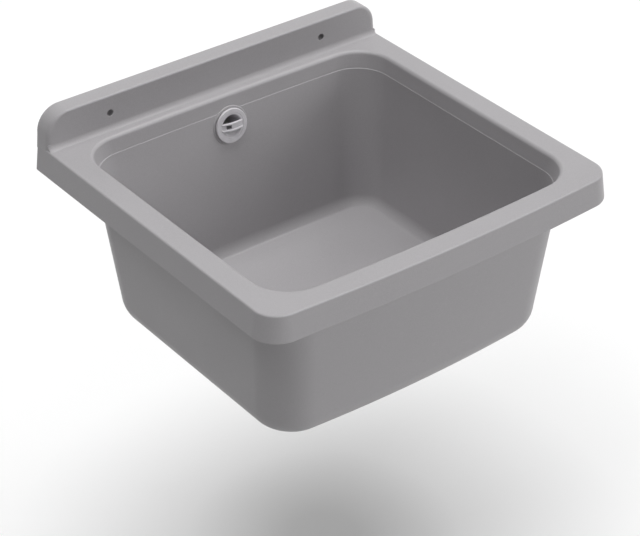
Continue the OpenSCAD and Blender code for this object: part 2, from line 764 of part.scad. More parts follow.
// Pressed steel strainer: a flat rim, a conical cup and a ring of holes in its foot
cup_slope = (cup_mouth_d - cup_foot_d) / 2 / cup_depth;
hole_circle_r = (cup_foot_d / 2 + screw_d) / 2;
module strainer() {
    color(steel) at_deck() at_drain(floor_drop) difference() {
        rotate_extrude() polygon([
            [screw_d / 2 + screw_clearance, -cup_depth], [cup_foot_d / 2, -cup_depth],
            [cup_mouth_d / 2, 0], [strainer_d / 2, 0], [strainer_d / 2, -strainer_sheet],
            [cup_mouth_d / 2 + strainer_sheet, -strainer_sheet],
            [cup_foot_d / 2 + strainer_sheet, -cup_depth - strainer_sheet],
            [screw_d / 2 + screw_clearance, -cup_depth - strainer_sheet]]);
        for (i = [0:strainer_holes - 1])
            rotate([0, 0, 360 * (i + 0.5) / strainer_holes])
                translate([hole_circle_r, 0, -cup_depth - strainer_sheet - over])
                    cylinder(d = strainer_hole_d, h = strainer_sheet + 2 * over);
    }
}

// Screw through the strainer's foot, and the nut that it draws up in the body's boss
head_h = 2.5;
head_r = 5.4;
slot_w = 1.4;
slot_depth = 1.3;
screw_tail = 2;
screw_len = strainer_sheet + boss_gap + boss_h + screw_tail;
module strainer_screw() {
    color(steel) at_deck() at_drain(floor_drop + cup_depth) {
        difference() {
            cylinder(r1 = head_r, r2 = head_r - slot_w / 2, h = head_h);
            translate([-head_r - over, -slot_w / 2, head_h - slot_depth])
                cube([2 * head_r + 2 * over, slot_w, slot_depth + over]);
        }
        translate([0, 0, -screw_len]) cylinder(d = screw_d, h = screw_len);
    }
}

module brass_nut() {
    color(brass) at_deck() at_drain(boss_top_drop + boss_h) difference() {
        cylinder(r = hex_r, h = nut_h, $fn = 6);
        translate([0, 0, -over]) cylinder(r = screw_d / 2 + fit, h = nut_h + 2 * over);
    }
}

// Rubber plug, hollow below to clear the screw head
plug_foot_gap = 1.8;
plug_rim_h = 0.6;
crown_flat_r = 12;
plug_rim_r = cup_mouth_d / 2 - plug_clearance;
plug_foot_z = plug_foot_gap - cup_depth;
plug_foot_r = plug_rim_r + cup_slope * plug_foot_z;
head_room = 3.5;
plug_hollow_r = head_r + head_room;
plug_hollow_h = 5;
plug_hollow_z = plug_foot_z + plug_hollow_h;
eye_stem_r = 2;
plug_web = 2.5;
eye_stem_z = plug_hollow_z + plug_web;
function crown_at(r) =
    blend(plug_crown_h, plug_rim_h, max(0, (r - crown_flat_r) / (plug_rim_r - crown_flat_r)));

module waste_plug() {
    color(rubber_black) at_deck() at_drain(floor_drop) rotate_extrude() polygon([
        [0, plug_hollow_z], [plug_hollow_r, plug_hollow_z], [plug_hollow_r, plug_foot_z],
        [plug_foot_r, plug_foot_z], [plug_rim_r, 0], [plug_rim_r, plug_rim_h],
        [crown_flat_r, plug_crown_h], [eye_stem_r + fit, plug_crown_h],
        [eye_stem_r + fit, eye_stem_z], [0, eye_stem_z]]);
}

// Wire eye with a stem in the plug, and the loose pull ring that hangs in it
eye_disc_r = 5;
eye_disc_t = 0.8;
eye_z = plug_crown_h + eye_disc_t + eye_r;
module plug_eye() {
    color(steel) at_deck() at_drain(floor_drop) {
        translate([0, 0, eye_z]) rotate([90, 0, 0])
            rotate_extrude() translate([eye_r, 0]) circle(eye_wire_r);
        translate([0, 0, plug_crown_h]) cylinder(r = eye_disc_r, h = eye_disc_t);
        translate([0, 0, eye_stem_z + fit])
            cylinder(r = eye_stem_r, h = plug_crown_h + eye_disc_t / 2 - eye_stem_z - fit);
    }
}

// The ring lies over to the right, its far side just above the plug's crown
ring_rest_gap = 0.3;
ring_tilt = asin((eye_z - crown_at(2 * ring_r) - ring_wire_r - ring_rest_gap) / (2 * ring_r));
module pull_ring() {
    color(steel) at_deck() at_drain(floor_drop - eye_z) rotate([0, ring_tilt, 0])
        translate([ring_r, 0, 0]) rotate_extrude() translate([ring_r, 0]) circle(ring_wire_r);
}

basin();
overflow_rosette();
overflow_gasket();
overflow_elbow();
elbow_pipe_seal();
elbow_pipe_nut();
overflow_pipe();
branch_pipe_seal();
branch_pipe_nut();
waste_body();
waste_gasket();
strainer_gasket();
strainer();
strainer_screw();
brass_nut();
waste_plug();
plug_eye();
pull_ring();
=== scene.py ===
import math

import bmesh
import bpy
from mathutils import Matrix, Vector


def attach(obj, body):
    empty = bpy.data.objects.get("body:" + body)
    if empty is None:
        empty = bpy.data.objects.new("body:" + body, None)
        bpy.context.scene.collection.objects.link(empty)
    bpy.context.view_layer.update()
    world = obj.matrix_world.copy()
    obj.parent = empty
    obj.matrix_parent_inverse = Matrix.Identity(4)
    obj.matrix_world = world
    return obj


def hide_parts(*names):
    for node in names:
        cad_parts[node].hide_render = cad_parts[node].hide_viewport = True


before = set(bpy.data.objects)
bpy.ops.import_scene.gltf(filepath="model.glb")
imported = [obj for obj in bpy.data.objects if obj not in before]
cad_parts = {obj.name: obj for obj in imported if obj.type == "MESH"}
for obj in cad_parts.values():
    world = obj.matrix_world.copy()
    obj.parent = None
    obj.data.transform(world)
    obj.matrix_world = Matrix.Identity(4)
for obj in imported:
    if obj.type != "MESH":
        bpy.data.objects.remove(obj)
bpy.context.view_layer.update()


# View
# The sink is seen from the left and above, as someone of middle height sees it from two or three
# paces away. The camera stands far off with a long lens, so the edges stay nearly parallel.
view_target = Vector((-0.04664, -0.30987, -0.14515))
view_distance = 2.77697
view_azimuth = math.radians(-37.721)
view_elevation = math.radians(33.867)
view_roll = math.radians(0.122)

towards_camera = Vector((math.sin(view_azimuth) * math.cos(view_elevation),
                         -math.cos(view_azimuth) * math.cos(view_elevation),
                         math.sin(view_elevation)))
level_right = Vector((math.cos(view_azimuth), math.sin(view_azimuth), 0.0))
level_up = towards_camera.cross(level_right)
camera_right = level_right * math.cos(view_roll) + level_up * math.sin(view_roll)
camera_up = towards_camera.cross(camera_right)

camera_data = bpy.data.cameras.new("view_camera")
camera_data.sensor_width = 36.0
camera_data.lens = 121.26
camera_data.clip_end = 20.0
camera = bpy.data.objects.new("view_camera", camera_data)
bpy.context.scene.collection.objects.link(camera)
camera_axes = Matrix((camera_right, camera_up, towards_camera)).transposed().to_4x4()
camera.matrix_world = Matrix.Translation(view_target + towards_camera * view_distance) @ camera_axes
bpy.context.scene.camera = camera


# Basin
# One injection moulding in matt grey polypropylene, 4.5 mm thick. A fine spark-eroded grain covers
# it, and the mould's parting runs round the foot of the skirt. Splashback, deck, skirt and bowl
# are one skin, stiffened from behind by ribs and by the two screw bosses.
# The sizes are millimetres, and each drop is measured down from the deck.
mm = 0.001
deck_z = -24.0
deck_width = 544.0
deck_depth = 506.0
front_bow = 10.0
deck_corner_r = 31.0
back_corner_r = 2.0
skirt_height = 37.0
skirt_flare = 4.5
skirt_foot_r = 1.5
deck_edge_r = 2.5
wall = 4.5

mouth_half = 236.4
mouth_back = 46.5
mouth_front = 474.5
mouth_bow = 7.0
back_bow = 2.7
mouth_corner_r = 50.0
floor_corner_r = 42.0
lip_r = 5.5
band_height = 23.6
band_lean = 3.6
band_lean_back = 2.2
step_width = 0.65
bowl_depth = 231.5
lean_side = 15.15
lean_back = 28.15
lean_front = 17.75
floor_r = 24.0
floor_turn = 41.0
crease_r = 5.0
floor_fall = 8.5
outer_floor_r = 34.5
outer_turn = 51.0
outer_edge_r = 5.0
side_wall_top = 6.85
front_wall_top = 7.25
back_wall_top = 6.6
outer_corner_growth = 6.0
root_r = 3.0
step_blend = 0.8

splash_height = 50.0
splash_thickness = 26.0
splash_inset = 2.0
splash_corner_r = 33.0
splash_edge_r = 3.0
splash_end_r = 6.5
splash_end_side_r = 9.0
splash_foot_r = 8.0
foot_end_r = 5.0
foot_end_fall = 2.5
foot_end_inset = 1.8
screw_spacing = 348.0
screw_above_deck = 24.0
screw_hole_r = 4.5
screw_boss_r = 8.5

drain_back = 262.0
drain_flat_r = 44.0
drain_hole_r = 27.0
strainer_r = 36.0
drain_recess = 3.0
floor_drop = bowl_depth + floor_fall

corner_steps = 18
bow_steps = 36
edge_steps = 6
turn_steps = 96
turn_rings = 14
crease_rings = 6
small_rings = 4
floor_rings_count = 6
hair = 0.002 * mm


def at(x, y, drop):
    """A point in metres, from millimetres across, along Y and down from the deck."""
    return Vector((x * mm, y * mm, (deck_z - drop) * mm))


def arc_angles(steps, first=0.0, last=90.0):
    return [math.radians(first + (last - first) * i / steps) for i in range(steps + 1)]


def corner(cx, cy, rx, ry, first):
    return [(cx + rx * math.cos(a), cy + ry * math.sin(a))
            for a in arc_angles(corner_steps, first, first + 90.0)]


def outline(half, back, front, back_r, front_r, bow, rear_bow=0.0):
    """A rounded rectangle seen from above, its front and its back edge bowed out."""
    bx, by = half - back_r, -back - back_r
    fx, fy = half - front_r, -front + front_r
    back_edge = [(bx - 2 * bx * i / bow_steps, -back) for i in range(1, bow_steps)]
    front_edge = [(-fx + 2 * fx * i / bow_steps, -front) for i in range(1, bow_steps)]
    plain = (corner(bx, by, back_r, back_r, 0) + back_edge + corner(-bx, by, back_r, back_r, 90)
             + corner(-fx, fy, front_r, front_r, 180) + front_edge
             + corner(fx, fy, front_r, front_r, 270))
    points = []
    for x, y in plain:
        share = 1 - (x / half) ** 2
        y += rear_bow * share if y >= by - 1e-6 else (-bow * share if y <= fy + 1e-6 else 0.0)
        points.append((x, y))
    return points


def ring_at(points, drop):
    return [at(x, y, drop) for x, y in points]


def skin(name, rings, closed=False):
    """A solid whose surface runs through rings of equal length. A closed one joins the last ring to
    the first."""
    mesh = bmesh.new()
    rows = [[mesh.verts.new(p) for p in ring] for ring in rings]
    count = len(rows[0])
    pairs = list(zip(rows, rows[1:])) + ([(rows[-1], rows[0])] if closed else [])
    for upper, lower in pairs:
        for i in range(count):
            j = (i + 1) % count
            mesh.faces.new((upper[i], lower[i], lower[j], upper[j]))
    if not closed:
        mesh.faces.new(rows[0])
        mesh.faces.new(rows[-1][::-1])
    bmesh.ops.remove_doubles(mesh, verts=mesh.verts, dist=1e-7)
    bmesh.ops.recalc_face_normals(mesh, faces=mesh.faces)
    data = bpy.data.meshes.new(name)
    mesh.to_mesh(data)
    mesh.free()
    piece = bpy.data.objects.new(name, data)
    bpy.context.scene.collection.objects.link(piece)
    return piece


def prism(name, face, offset):
    """A flat face pushed along an offset."""
    return skin(name, [face, [p + offset for p in face]])


def axis_frame(axis):
    """A direction, and two more at right angles to it and to each other."""
    along = Vector(axis).normalized()
    side = along.orthogonal().normalized()
    return along, side, along.cross(side)


def full_turn(steps):
    return [2 * math.pi * i / steps for i in range(steps)]


def turned(name, profile, origin, axis, steps=turn_steps):
    """A profile of (radius, height) points in millimetres, turned round an axis through origin. One
    that starts on the axis gives a solid, and any other gives a ring."""
    along, side, across = axis_frame(axis)
    rings = [[origin + along * h * mm + (side * math.cos(a) + across * math.sin(a)) * r * mm
              for a in full_turn(steps)] for r, h in profile]
    return skin(name, rings, closed=profile[0][0] > 0)


def rod(name, r, start, end, origin, axis, steps=turn_steps):
    """A plain cylinder between two heights on an axis."""
    return turned(name, [(0, start), (r, start), (r, end), (0, end)], origin, axis, steps)


def combine(target, tools, operation):
    """Joins tools to a piece, or cuts them out of it, and deletes the tools."""
    group = bpy.data.collections.new("tools")
    bpy.context.scene.collection.children.link(group)
    for tool in tools:
        group.objects.link(tool)
    step = target.modifiers.new("combine", "BOOLEAN")
    step.operation = operation
    step.solver = "EXACT"
    step.operand_type = "COLLECTION"
    step.collection = group
    bake_modifiers(target)
    weld(target)
    for tool in tools:
        bpy.data.objects.remove(tool)
    bpy.data.collections.remove(group)


def weld(piece):
    """Closes the hair-thin slivers that a boolean leaves."""
    mesh = bmesh.new()
    mesh.from_mesh(piece.data)
    bmesh.ops.remove_doubles(mesh, verts=mesh.verts, dist=hair)
    bmesh.ops.dissolve_degenerate(mesh, edges=mesh.edges, dist=hair / 2)
    mesh.to_mesh(piece.data)
    mesh.free()


def bake_modifiers(piece):
    scene_state = bpy.context.evaluated_depsgraph_get()
    data = bpy.data.meshes.new_from_object(piece.evaluated_get(scene_state))
    old = piece.data
    piece.modifiers.clear()
    piece.data = data
    bpy.data.meshes.remove(old)


def smooth(piece, sharp_above=32.0):
    """Shades a piece smooth, but for edges that turn by more than an angle in degrees."""
    mesh = bmesh.new()
    mesh.from_mesh(piece.data)
    for face in mesh.faces:
        face.smooth = True
    for edge in mesh.edges:
        turns_by = edge.calc_face_angle(0) if len(edge.link_faces) == 2 else math.pi
        edge.smooth = turns_by < math.radians(sharp_above)
    mesh.to_mesh(piece.data)
    mesh.free()
    level = piece.modifiers.new("even_shading", "WEIGHTED_NORMAL")
    level.keep_sharp = True
    level.weight = 100


def dress(piece, body, slot, material, *nodes):
    """Gives a piece its material and its body, and hides the CAD nodes that it stands for. The slot
    is not used.
    """
    piece.data.materials.clear()
    piece.data.materials.append(material)
    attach(piece, body)
    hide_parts(*nodes)


def lean_share(drop):
    return (drop - band_height) / (bowl_depth - band_height)


def between(top, foot, share):
    return top + (foot - top) * share


step_half = mouth_half - band_lean - step_width
step_back = mouth_back + band_lean_back + step_width
step_front = mouth_front - band_lean - step_width


def bowl_inside(drop, inset):
    share = lean_share(drop)
    r = between(mouth_corner_r, floor_corner_r, share) - inset
    return outline(step_half - lean_side * share - inset, step_back + lean_back * share + inset,
                   step_front - lean_front * share - inset, r, r, mouth_bow, back_bow)


def outer_half(drop):
    share = lean_share(drop)
    return step_half - lean_side * share + between(side_wall_top, wall, share)


def outer_back(drop):
    share = lean_share(drop)
    return step_back + lean_back * share - between(back_wall_top, wall, share)


def outer_front(drop):
    share = lean_share(drop)
    return step_front - lean_front * share + between(front_wall_top, wall, share)


def bowl_outside(drop, inset):
    foot_r = floor_corner_r + outer_corner_growth
    r = between(mouth_corner_r, foot_r, lean_share(drop)) + wall - inset
    return outline(outer_half(drop) - inset, outer_back(drop) + inset, outer_front(drop) - inset,
                   r, r, front_bow, back_bow)


def band(share, inset):
    r = mouth_corner_r - inset
    return outline(mouth_half - band_lean * share - inset,
                   mouth_back + band_lean_back * share + inset,
                   mouth_front - band_lean * share - inset, r, r, mouth_bow, back_bow)


def skirt(drop, inset, back):
    flare = skirt_flare * drop / skirt_height
    return outline(deck_width / 2 + flare - inset, back, deck_depth + flare - inset,
                   back_corner_r, deck_corner_r + flare - inset, front_bow)


def drain_flat():
    r = drain_flat_r * 0.97
    return outline(drain_flat_r, drain_back - drain_flat_r, drain_back + drain_flat_r, r, r, 0.0)


def rounding(a, r, small_r, turn):
    """How far the foot of a wall has gone in and down where it has turned by an angle: along a
    large radius as far as the turn, and along a small one from there."""
    first = min(a, turn)
    return (r * (1 - math.cos(first)) + small_r * (math.cos(first) - math.cos(a)),
            r * math.sin(first) + small_r * (math.sin(a) - math.sin(first)))


def foot_rings(plan, start, r, small_r, turn):
    """Rings down the foot of a wall, by their plan at a depth and an inset."""
    rings = []
    for a in arc_angles(turn_rings, 0.0, turn) + arc_angles(crease_rings, turn, 90.0)[1:]:
        inward, down = rounding(a, r, small_r, math.radians(turn))
        rings.append(ring_at(plan(start + down, inward), start + down))
    return rings


rounding_drop = bowl_depth - rounding(math.pi / 2, floor_r, crease_r, math.radians(floor_turn))[1]
outer_rounding_drop = 213.0


def blend_outlines(first, second, share):
    return [(between(a[0], b[0], share), between(a[1], b[1], share)) for a, b in zip(first, second)]


def floor_rings(rim, rim_drop, middle_drop):
    """The floor from its edge in to the level part round the drain, as a shallow dish."""
    shares = [i / floor_rings_count for i in range(1, floor_rings_count + 1)]
    return [ring_at(blend_outlines(rim, drain_flat(), share),
                    between(rim_drop, middle_drop, math.sin(math.pi / 2 * share)))
            for share in shares]


def basin_rings():
    """The whole moulding as one path, from the floor over the deck to the underside."""
    rings = []
    inward = rounding(math.pi / 2, floor_r, crease_r, math.radians(floor_turn))[0]
    rings += floor_rings(bowl_inside(bowl_depth, inward), bowl_depth, floor_drop)[::-1]
    rings += foot_rings(bowl_inside, rounding_drop, floor_r, crease_r, floor_turn)[::-1]
    shares = [i / small_rings for i in range(small_rings + 1)]
    for share in shares[1:-1]:
        drop = between(rounding_drop, band_height + step_width, share)
        rings.append(ring_at(bowl_inside(drop, 0.0), drop))
    half_step = step_width * step_blend
    for share in shares:
        eased = share * share * (3 - 2 * share)
        drop = between(band_height + half_step, band_height - half_step, share)
        rings.append(ring_at(blend_outlines(bowl_inside(drop, 0.0), band(1.0, 0.0), eased), drop))
    for a in arc_angles(edge_steps):
        rings.append(ring_at(band(0.0, lip_r * (math.cos(a) - 1)), lip_r * (1 - math.sin(a))))
    for a in arc_angles(edge_steps):
        rings.append(ring_at(skirt(0.0, deck_edge_r * (1 - math.sin(a)), 0.0),
                             deck_edge_r * (1 - math.cos(a))))
    foot_edge = [(skirt_foot_r * (1 - math.cos(a)), skirt_foot_r * (1 - math.sin(a)))
                 for a in arc_angles(small_rings)]
    for inset, rise in foot_edge + [(wall - rise, inset) for inset, rise in foot_edge]:
        drop = skirt_height - rise
        rings.append(ring_at(skirt(drop, inset, inset), drop))
    for a in arc_angles(small_rings):
        inset = wall + root_r * (1 - math.cos(a))
        rings.append(ring_at(skirt(wall, inset, inset), wall + root_r * (1 - math.sin(a))))
    for a in arc_angles(small_rings):
        rings.append(ring_at(bowl_outside(wall + root_r, -root_r * (1 - math.sin(a))),
                             wall + root_r * (1 - math.cos(a))))
    rings += foot_rings(bowl_outside, outer_rounding_drop, outer_floor_r, outer_edge_r, outer_turn)
    inward, down = rounding(math.pi / 2, outer_floor_r, outer_edge_r, math.radians(outer_turn))
    under_drop = outer_rounding_drop + down
    rings += floor_rings(bowl_outside(under_drop, inward), under_drop, floor_drop + wall)
    return rings


def drawn_in(depth, r):
    return r - math.sqrt(r * r - (r - depth) ** 2) if depth < r else 0.0


def splash_ring(depth, inset, foot):
    """The splashback seen from the front at a depth behind its face, inside a skin of inset."""
    end_in = drawn_in(depth - inset, splash_end_r) * splash_end_side_r / splash_end_r + inset
    top_in = drawn_in(depth - inset, splash_edge_r) + inset
    half, top = deck_width / 2 - splash_inset - end_in, splash_height - top_in
    rx, rz = splash_corner_r - end_in, splash_corner_r - top_in
    arc = corner(half - rx, top - rz, rx, rz, 0)
    spread_foot = half + splash_inset
    points = arc + [(-x, z) for x, z in reversed(arc)] + [(-spread_foot, foot), (spread_foot, foot)]
    return [at(x, depth - splash_thickness, -z) for x, z in points]


def splash_shell():
    depths = sorted({splash_edge_r * (1 - math.cos(a)) for a in arc_angles(edge_steps)}
                    | {splash_end_r * (1 - math.cos(a)) for a in arc_angles(10)})
    return skin("splash", [splash_ring(d, 0.0, -wall) for d in depths + [splash_thickness]])


def splash_hollow():
    depths = [wall + splash_end_r * (1 - math.cos(a)) for a in arc_angles(5)]
    return skin("hollow", [splash_ring(d, wall, 0.0) for d in depths + [splash_thickness + 1]])


def splash_foot():
    """The hollow where the splashback's face meets the deck, rounded off at its two ends."""
    hollow = [(splash_thickness + splash_foot_r * (1 - math.sin(a)),
               splash_foot_r * (1 - math.cos(a))) for a in reversed(arc_angles(12))]
    rings = []
    for side in (-1, 1):
        for a in arc_angles(8)[::side]:
            x = side * (deck_width / 2 - foot_end_inset - foot_end_r * (1 - math.sin(a)))
            lower = foot_end_fall * (1 - math.cos(a))
            face = [at(x, -splash_thickness + wall, wall / 2),
                    at(x, -splash_thickness + wall, lower - splash_foot_r)]
            face += [at(x, -out, lower - rise) for out, rise in hollow]
            face.append(at(x, -splash_thickness - splash_foot_r, wall / 2))
            rings.append(face)
    return skin("foot", rings)


rib_thickness = 3.0
rib_height = skirt_height - 8.0
side_rib_places = (0.3, 0.52, 0.74)
front_rib_places = (-0.27, 0.0, 0.27)
back_rib_places = (-0.36, -0.16, 0.16, 0.36)
splash_rib_places = (-0.42, -0.22, -0.08, 0.08, 0.22, 0.42)
off_wall = 0.02
bite = wall / 2


def bowed(x, half, bow=front_bow):
    return bow * (1 - (x / half) ** 2)


def back_of_bowl(x, drop):
    return outer_back(drop) - bowed(x, outer_half(drop), back_bow)


def rib_across(x, near_top, near_foot, far_top, far_foot, top, foot):
    face = [at(x - rib_thickness / 2, -near_top, top), at(x - rib_thickness / 2, -near_foot, foot),
            at(x - rib_thickness / 2, -far_foot, foot), at(x - rib_thickness / 2, -far_top, top)]
    return prism("rib", face, Vector((rib_thickness * mm, 0, 0)))


def ribs():
    found = []
    flare = skirt_flare * rib_height / skirt_height
    for share in side_rib_places:
        y = -deck_depth * share
        for side in (-1, 1):
            face = [at(side * (outer_half(wall) - bite), y, bite),
                    at(side * (deck_width / 2 - bite), y, bite),
                    at(side * (deck_width / 2 + flare - bite), y, rib_height),
                    at(side * (outer_half(rib_height) - bite), y, rib_height)]
            found.append(prism("rib", face, Vector((0, rib_thickness * mm, 0))))
    for share in front_rib_places:
        x = deck_width * share
        found.append(rib_across(
            x, outer_front(wall) + bowed(x, outer_half(wall)) - bite,
            outer_front(rib_height) + bowed(x, outer_half(rib_height)) - bite,
            deck_depth + bowed(x, deck_width / 2) - bite,
            deck_depth + flare + bowed(x, deck_width / 2 + flare) - bite, bite, rib_height))
    for share in back_rib_places:
        x = deck_width * share
        found.append(rib_across(x, bite, bite, back_of_bowl(x, wall) + bite,
                                back_of_bowl(x, rib_height) + bite, bite, rib_height))
    for share in splash_rib_places:
        found.append(rib_across(deck_width * share, off_wall, off_wall, splash_thickness - bite,
                                splash_thickness - bite, bite - splash_height, bite))
    return found


overflow_drop = 44.5
overflow_seat_r = 28.0
neck_r = 18.0
neck_clearance = 0.4
clamp_r = 27.0
overflow_lean = math.radians(7.51)
seat_proud = 1.0
seat_edge_r = 1.0
clamp_chamfer = 0.3
drain_chamfer = 1.0
screw_countersink = 0.9
overflow_seat_back = step_back - back_bow + lean_back * lean_share(overflow_drop) + seat_proud
clamp_depth = seat_proud + between(back_wall_top, wall, lean_share(overflow_drop)) + 0.7
to_room = Vector((0, -1, 0))
up = Vector((0, 0, 1))
off_seat = Vector((0, -math.cos(overflow_lean), math.sin(overflow_lean)))
up_seat = Vector((0, math.sin(overflow_lean), math.cos(overflow_lean)))


def on_seat(x, y, z):
    """A point by its place across, up and out from the overflow's leaning seat, in millimetres."""
    middle = at(0, -overflow_seat_back, overflow_drop)
    return middle + (Vector((x, 0, 0)) + up_seat * y + off_seat * z) * mm


def drain_point(drop):
    return at(0, -drain_back, drop)


def screw_points():
    return [at(side * screw_spacing / 2, 0, -screw_above_deck) for side in (-1, 1)]


def basin():
    shell = skin("basin_shell", basin_rings())
    splash = splash_shell()
    combine(splash, [splash_hollow()], "DIFFERENCE")
    seat_edge = [(overflow_seat_r - seat_edge_r * (1 - math.cos(a)),
                  seat_edge_r * math.sin(a) - seat_edge_r) for a in arc_angles(5)]
    seat = turned("seat", [(0, -4), (overflow_seat_r, -4)] + seat_edge + [(0, 0)],
                  on_seat(0, 0, 0), off_seat)
    clamp = turned("clamp", [(0, 0), (clamp_r - clamp_chamfer, 0), (clamp_r, clamp_chamfer),
                             (clamp_r, bite), (0, bite)], on_seat(0, 0, -clamp_depth), off_seat)
    drain_top = drain_recess + wall - bite
    drain = turned("drain", [(0, 0), (drain_flat_r - drain_chamfer, 0),
                             (drain_flat_r, drain_chamfer), (drain_flat_r, drain_top),
                             (0, drain_top)],
                   drain_point(floor_drop + drain_recess + wall), up)
    bosses = [rod("boss", screw_boss_r, off_wall, splash_thickness - bite, point, to_room)
              for point in screw_points()]
    combine(shell, [splash, splash_foot(), seat, clamp, drain] + bosses + ribs(), "UNION")
    wide_r, wide_from = screw_hole_r + screw_countersink, splash_thickness + 0.2
    screws = [turned("screw_hole", [(0, -1), (screw_hole_r, -1),
                                    (screw_hole_r, wide_from - screw_countersink),
                                    (wide_r, wide_from), (wide_r, wide_from + 0.8),
                                    (0, wide_from + 0.8)], point, to_room)
              for point in screw_points()]
    neck = rod("neck_hole", neck_r + neck_clearance, -12, 12, on_seat(0, 0, -clamp_depth / 2),
               off_seat)
    recess_foot = drain_point(floor_drop + drain_recess)
    recess_r = strainer_r + 0.4
    recess = turned("recess", [(0, 0), (recess_r, 0), (recess_r, drain_recess - 0.5),
                               (recess_r + 0.8, drain_recess + 0.1), (recess_r + 0.8, 6), (0, 6)],
                    recess_foot, up)
    hole = rod("drain_hole", drain_hole_r, -12, 12, recess_foot, up)
    combine(shell, screws + [neck, recess, hole], "DIFFERENCE")
    smooth(shell)
    return shell


def texture_noise(tree, coords, scale, detail=2.0, stretch=(1, 1, 1)):
    """A noise pattern, its scale in features per metre."""
    place = tree.nodes.new("ShaderNodeMapping")
    place.inputs["Scale"].default_value = stretch
    pattern = tree.nodes.new("ShaderNodeTexNoise")
    pattern.inputs["Scale"].default_value = scale
    pattern.inputs["Detail"].default_value = detail
    tree.links.new(coords, place.inputs["Vector"])
    tree.links.new(place.outputs["Vector"], pattern.inputs["Vector"])
    return pattern.outputs["Fac"]


def spread(tree, value, low, high, from_low=0.35, from_high=0.65):
    """Maps a pattern's middle range to a range of values."""
    node = tree.nodes.new("ShaderNodeMapRange")
    node.inputs["From Min"].default_value = from_low
    node.inputs["From Max"].default_value = from_high
    node.inputs["To Min"].default_value = low
    node.inputs["To Max"].default_value = high
    tree.links.new(value, node.inputs["Value"])
    return node.outputs["Result"]


def tinted(tree, below, above, share):
    """Mixes two colours, or a colour over another mix, by a share from 0 to 1."""
    node = tree.nodes.new("ShaderNodeMix")
    node.data_type = "RGBA"
    for name, colour in (("A", below), ("B", above)):
        socket = [s for s in node.inputs if s.name == name and s.type == "RGBA"][0]
        if isinstance(colour, tuple):
            socket.default_value = (*colour, 1.0)
        else:
            tree.links.new(colour, socket)
    tree.links.new(share, node.inputs["Factor"])
    return [s for s in node.outputs if s.type == "RGBA"][0]


def grain(tree, pattern, distance, strength, under=None):
    """Turns a pattern into relief, its depth in metres."""
    node = tree.nodes.new("ShaderNodeBump")
    node.inputs["Distance"].default_value = distance
    node.inputs["Strength"].default_value = strength
    tree.links.new(pattern, node.inputs["Height"])
    if under is not None:
        tree.links.new(under, node.inputs["Normal"])
    return node.outputs["Normal"]


def new_material(name, metallic=0.0):
    material = bpy.data.materials.new(name)
    material.use_nodes = True
    tree = material.node_tree
    shader = tree.nodes["Principled BSDF"]
    shader.inputs["Metallic"].default_value = metallic
    coords = tree.nodes.new("ShaderNodeTexCoord").outputs["Object"]
    return material, tree, shader, coords


def moulded_grey():
    """Matt polypropylene with a fine eroded grain, faint flow marks and a few light scuffs."""
    material, tree, shader, coords = new_material("moulded_grey")
    low_grey, high_grey = (0.375, 0.363, 0.375), (0.415, 0.403, 0.415)
    flow_grey, scuff_grey = (0.413, 0.402, 0.414), (0.46, 0.45, 0.46)
    speckle = spread(tree, texture_noise(tree, coords, 900, 3), 0.0, 1.0)
    cloud = spread(tree, texture_noise(tree, coords, 9, 2), 0.0, 1.0)
    scuffs = spread(tree, texture_noise(tree, coords, 60, 4, (1, 9, 1)), 0.0, 0.5, 0.62, 0.75)
    colour = tinted(tree, low_grey, high_grey, speckle)
    colour = tinted(tree, colour, flow_grey, spread(tree, cloud, 0.0, 0.5, 0.0, 1.0))
    colour = tinted(tree, colour, scuff_grey, spread(tree, scuffs, 0.0, 0.35, 0.0, 1.0))
    tree.links.new(colour, shader.inputs["Base Color"])
    tree.links.new(spread(tree, cloud, 0.40, 0.50, 0.0, 1.0), shader.inputs["Roughness"])
    shader.inputs["Specular IOR Level"].default_value = 0.38
    waves = grain(tree, texture_noise(tree, coords, 35, 1), 0.0004, 0.25)
    relief = grain(tree, texture_noise(tree, coords, 1300, 2), 0.00012, 0.35, waves)
    tree.links.new(relief, shader.inputs["Normal"])
    return material


dress(basin(), "sink", "basin_grey", moulded_grey(), "basin")


# Overflow rosette
# A screw-in ring in satin light grey plastic. Its threaded neck goes through the bowl's back wall,
# and an arched bar with two raised ribs lets a hand screw it in. The small square hole in the bar
# is for a plug's chain.
rosette_r = 24.75
rosette_rim = 4.0
rosette_edge = 1.0
rosette_bore = 15.0
rosette_throat = 12.6
rosette_dish = 1.2
neck_length = clamp_depth + 3.0 + 11.0
grip_width = 36.0
grip_height = 11.4
grip_rise = 4.5
grip_thickness = 2.6
grip_rib_width = 2.4
grip_rib_proud = 1.2
chain_hole = (8.0, 5.6)
chain_hole_at = (-6.9, 0.4)
chain_hole_soft = 0.9
grip_end_r = 17.3
grip_turn = math.radians(-3.0)
grip_steps = 32
neck_turns = 5
neck_pitch = 1.8
neck_thread = 0.7


def on_bar(x, y, z):
    """A point by its place along, across and out from the grip bar, which isn't quite level."""
    return on_seat(x * math.cos(grip_turn) - y * math.sin(grip_turn),
                   x * math.sin(grip_turn) + y * math.cos(grip_turn), z)


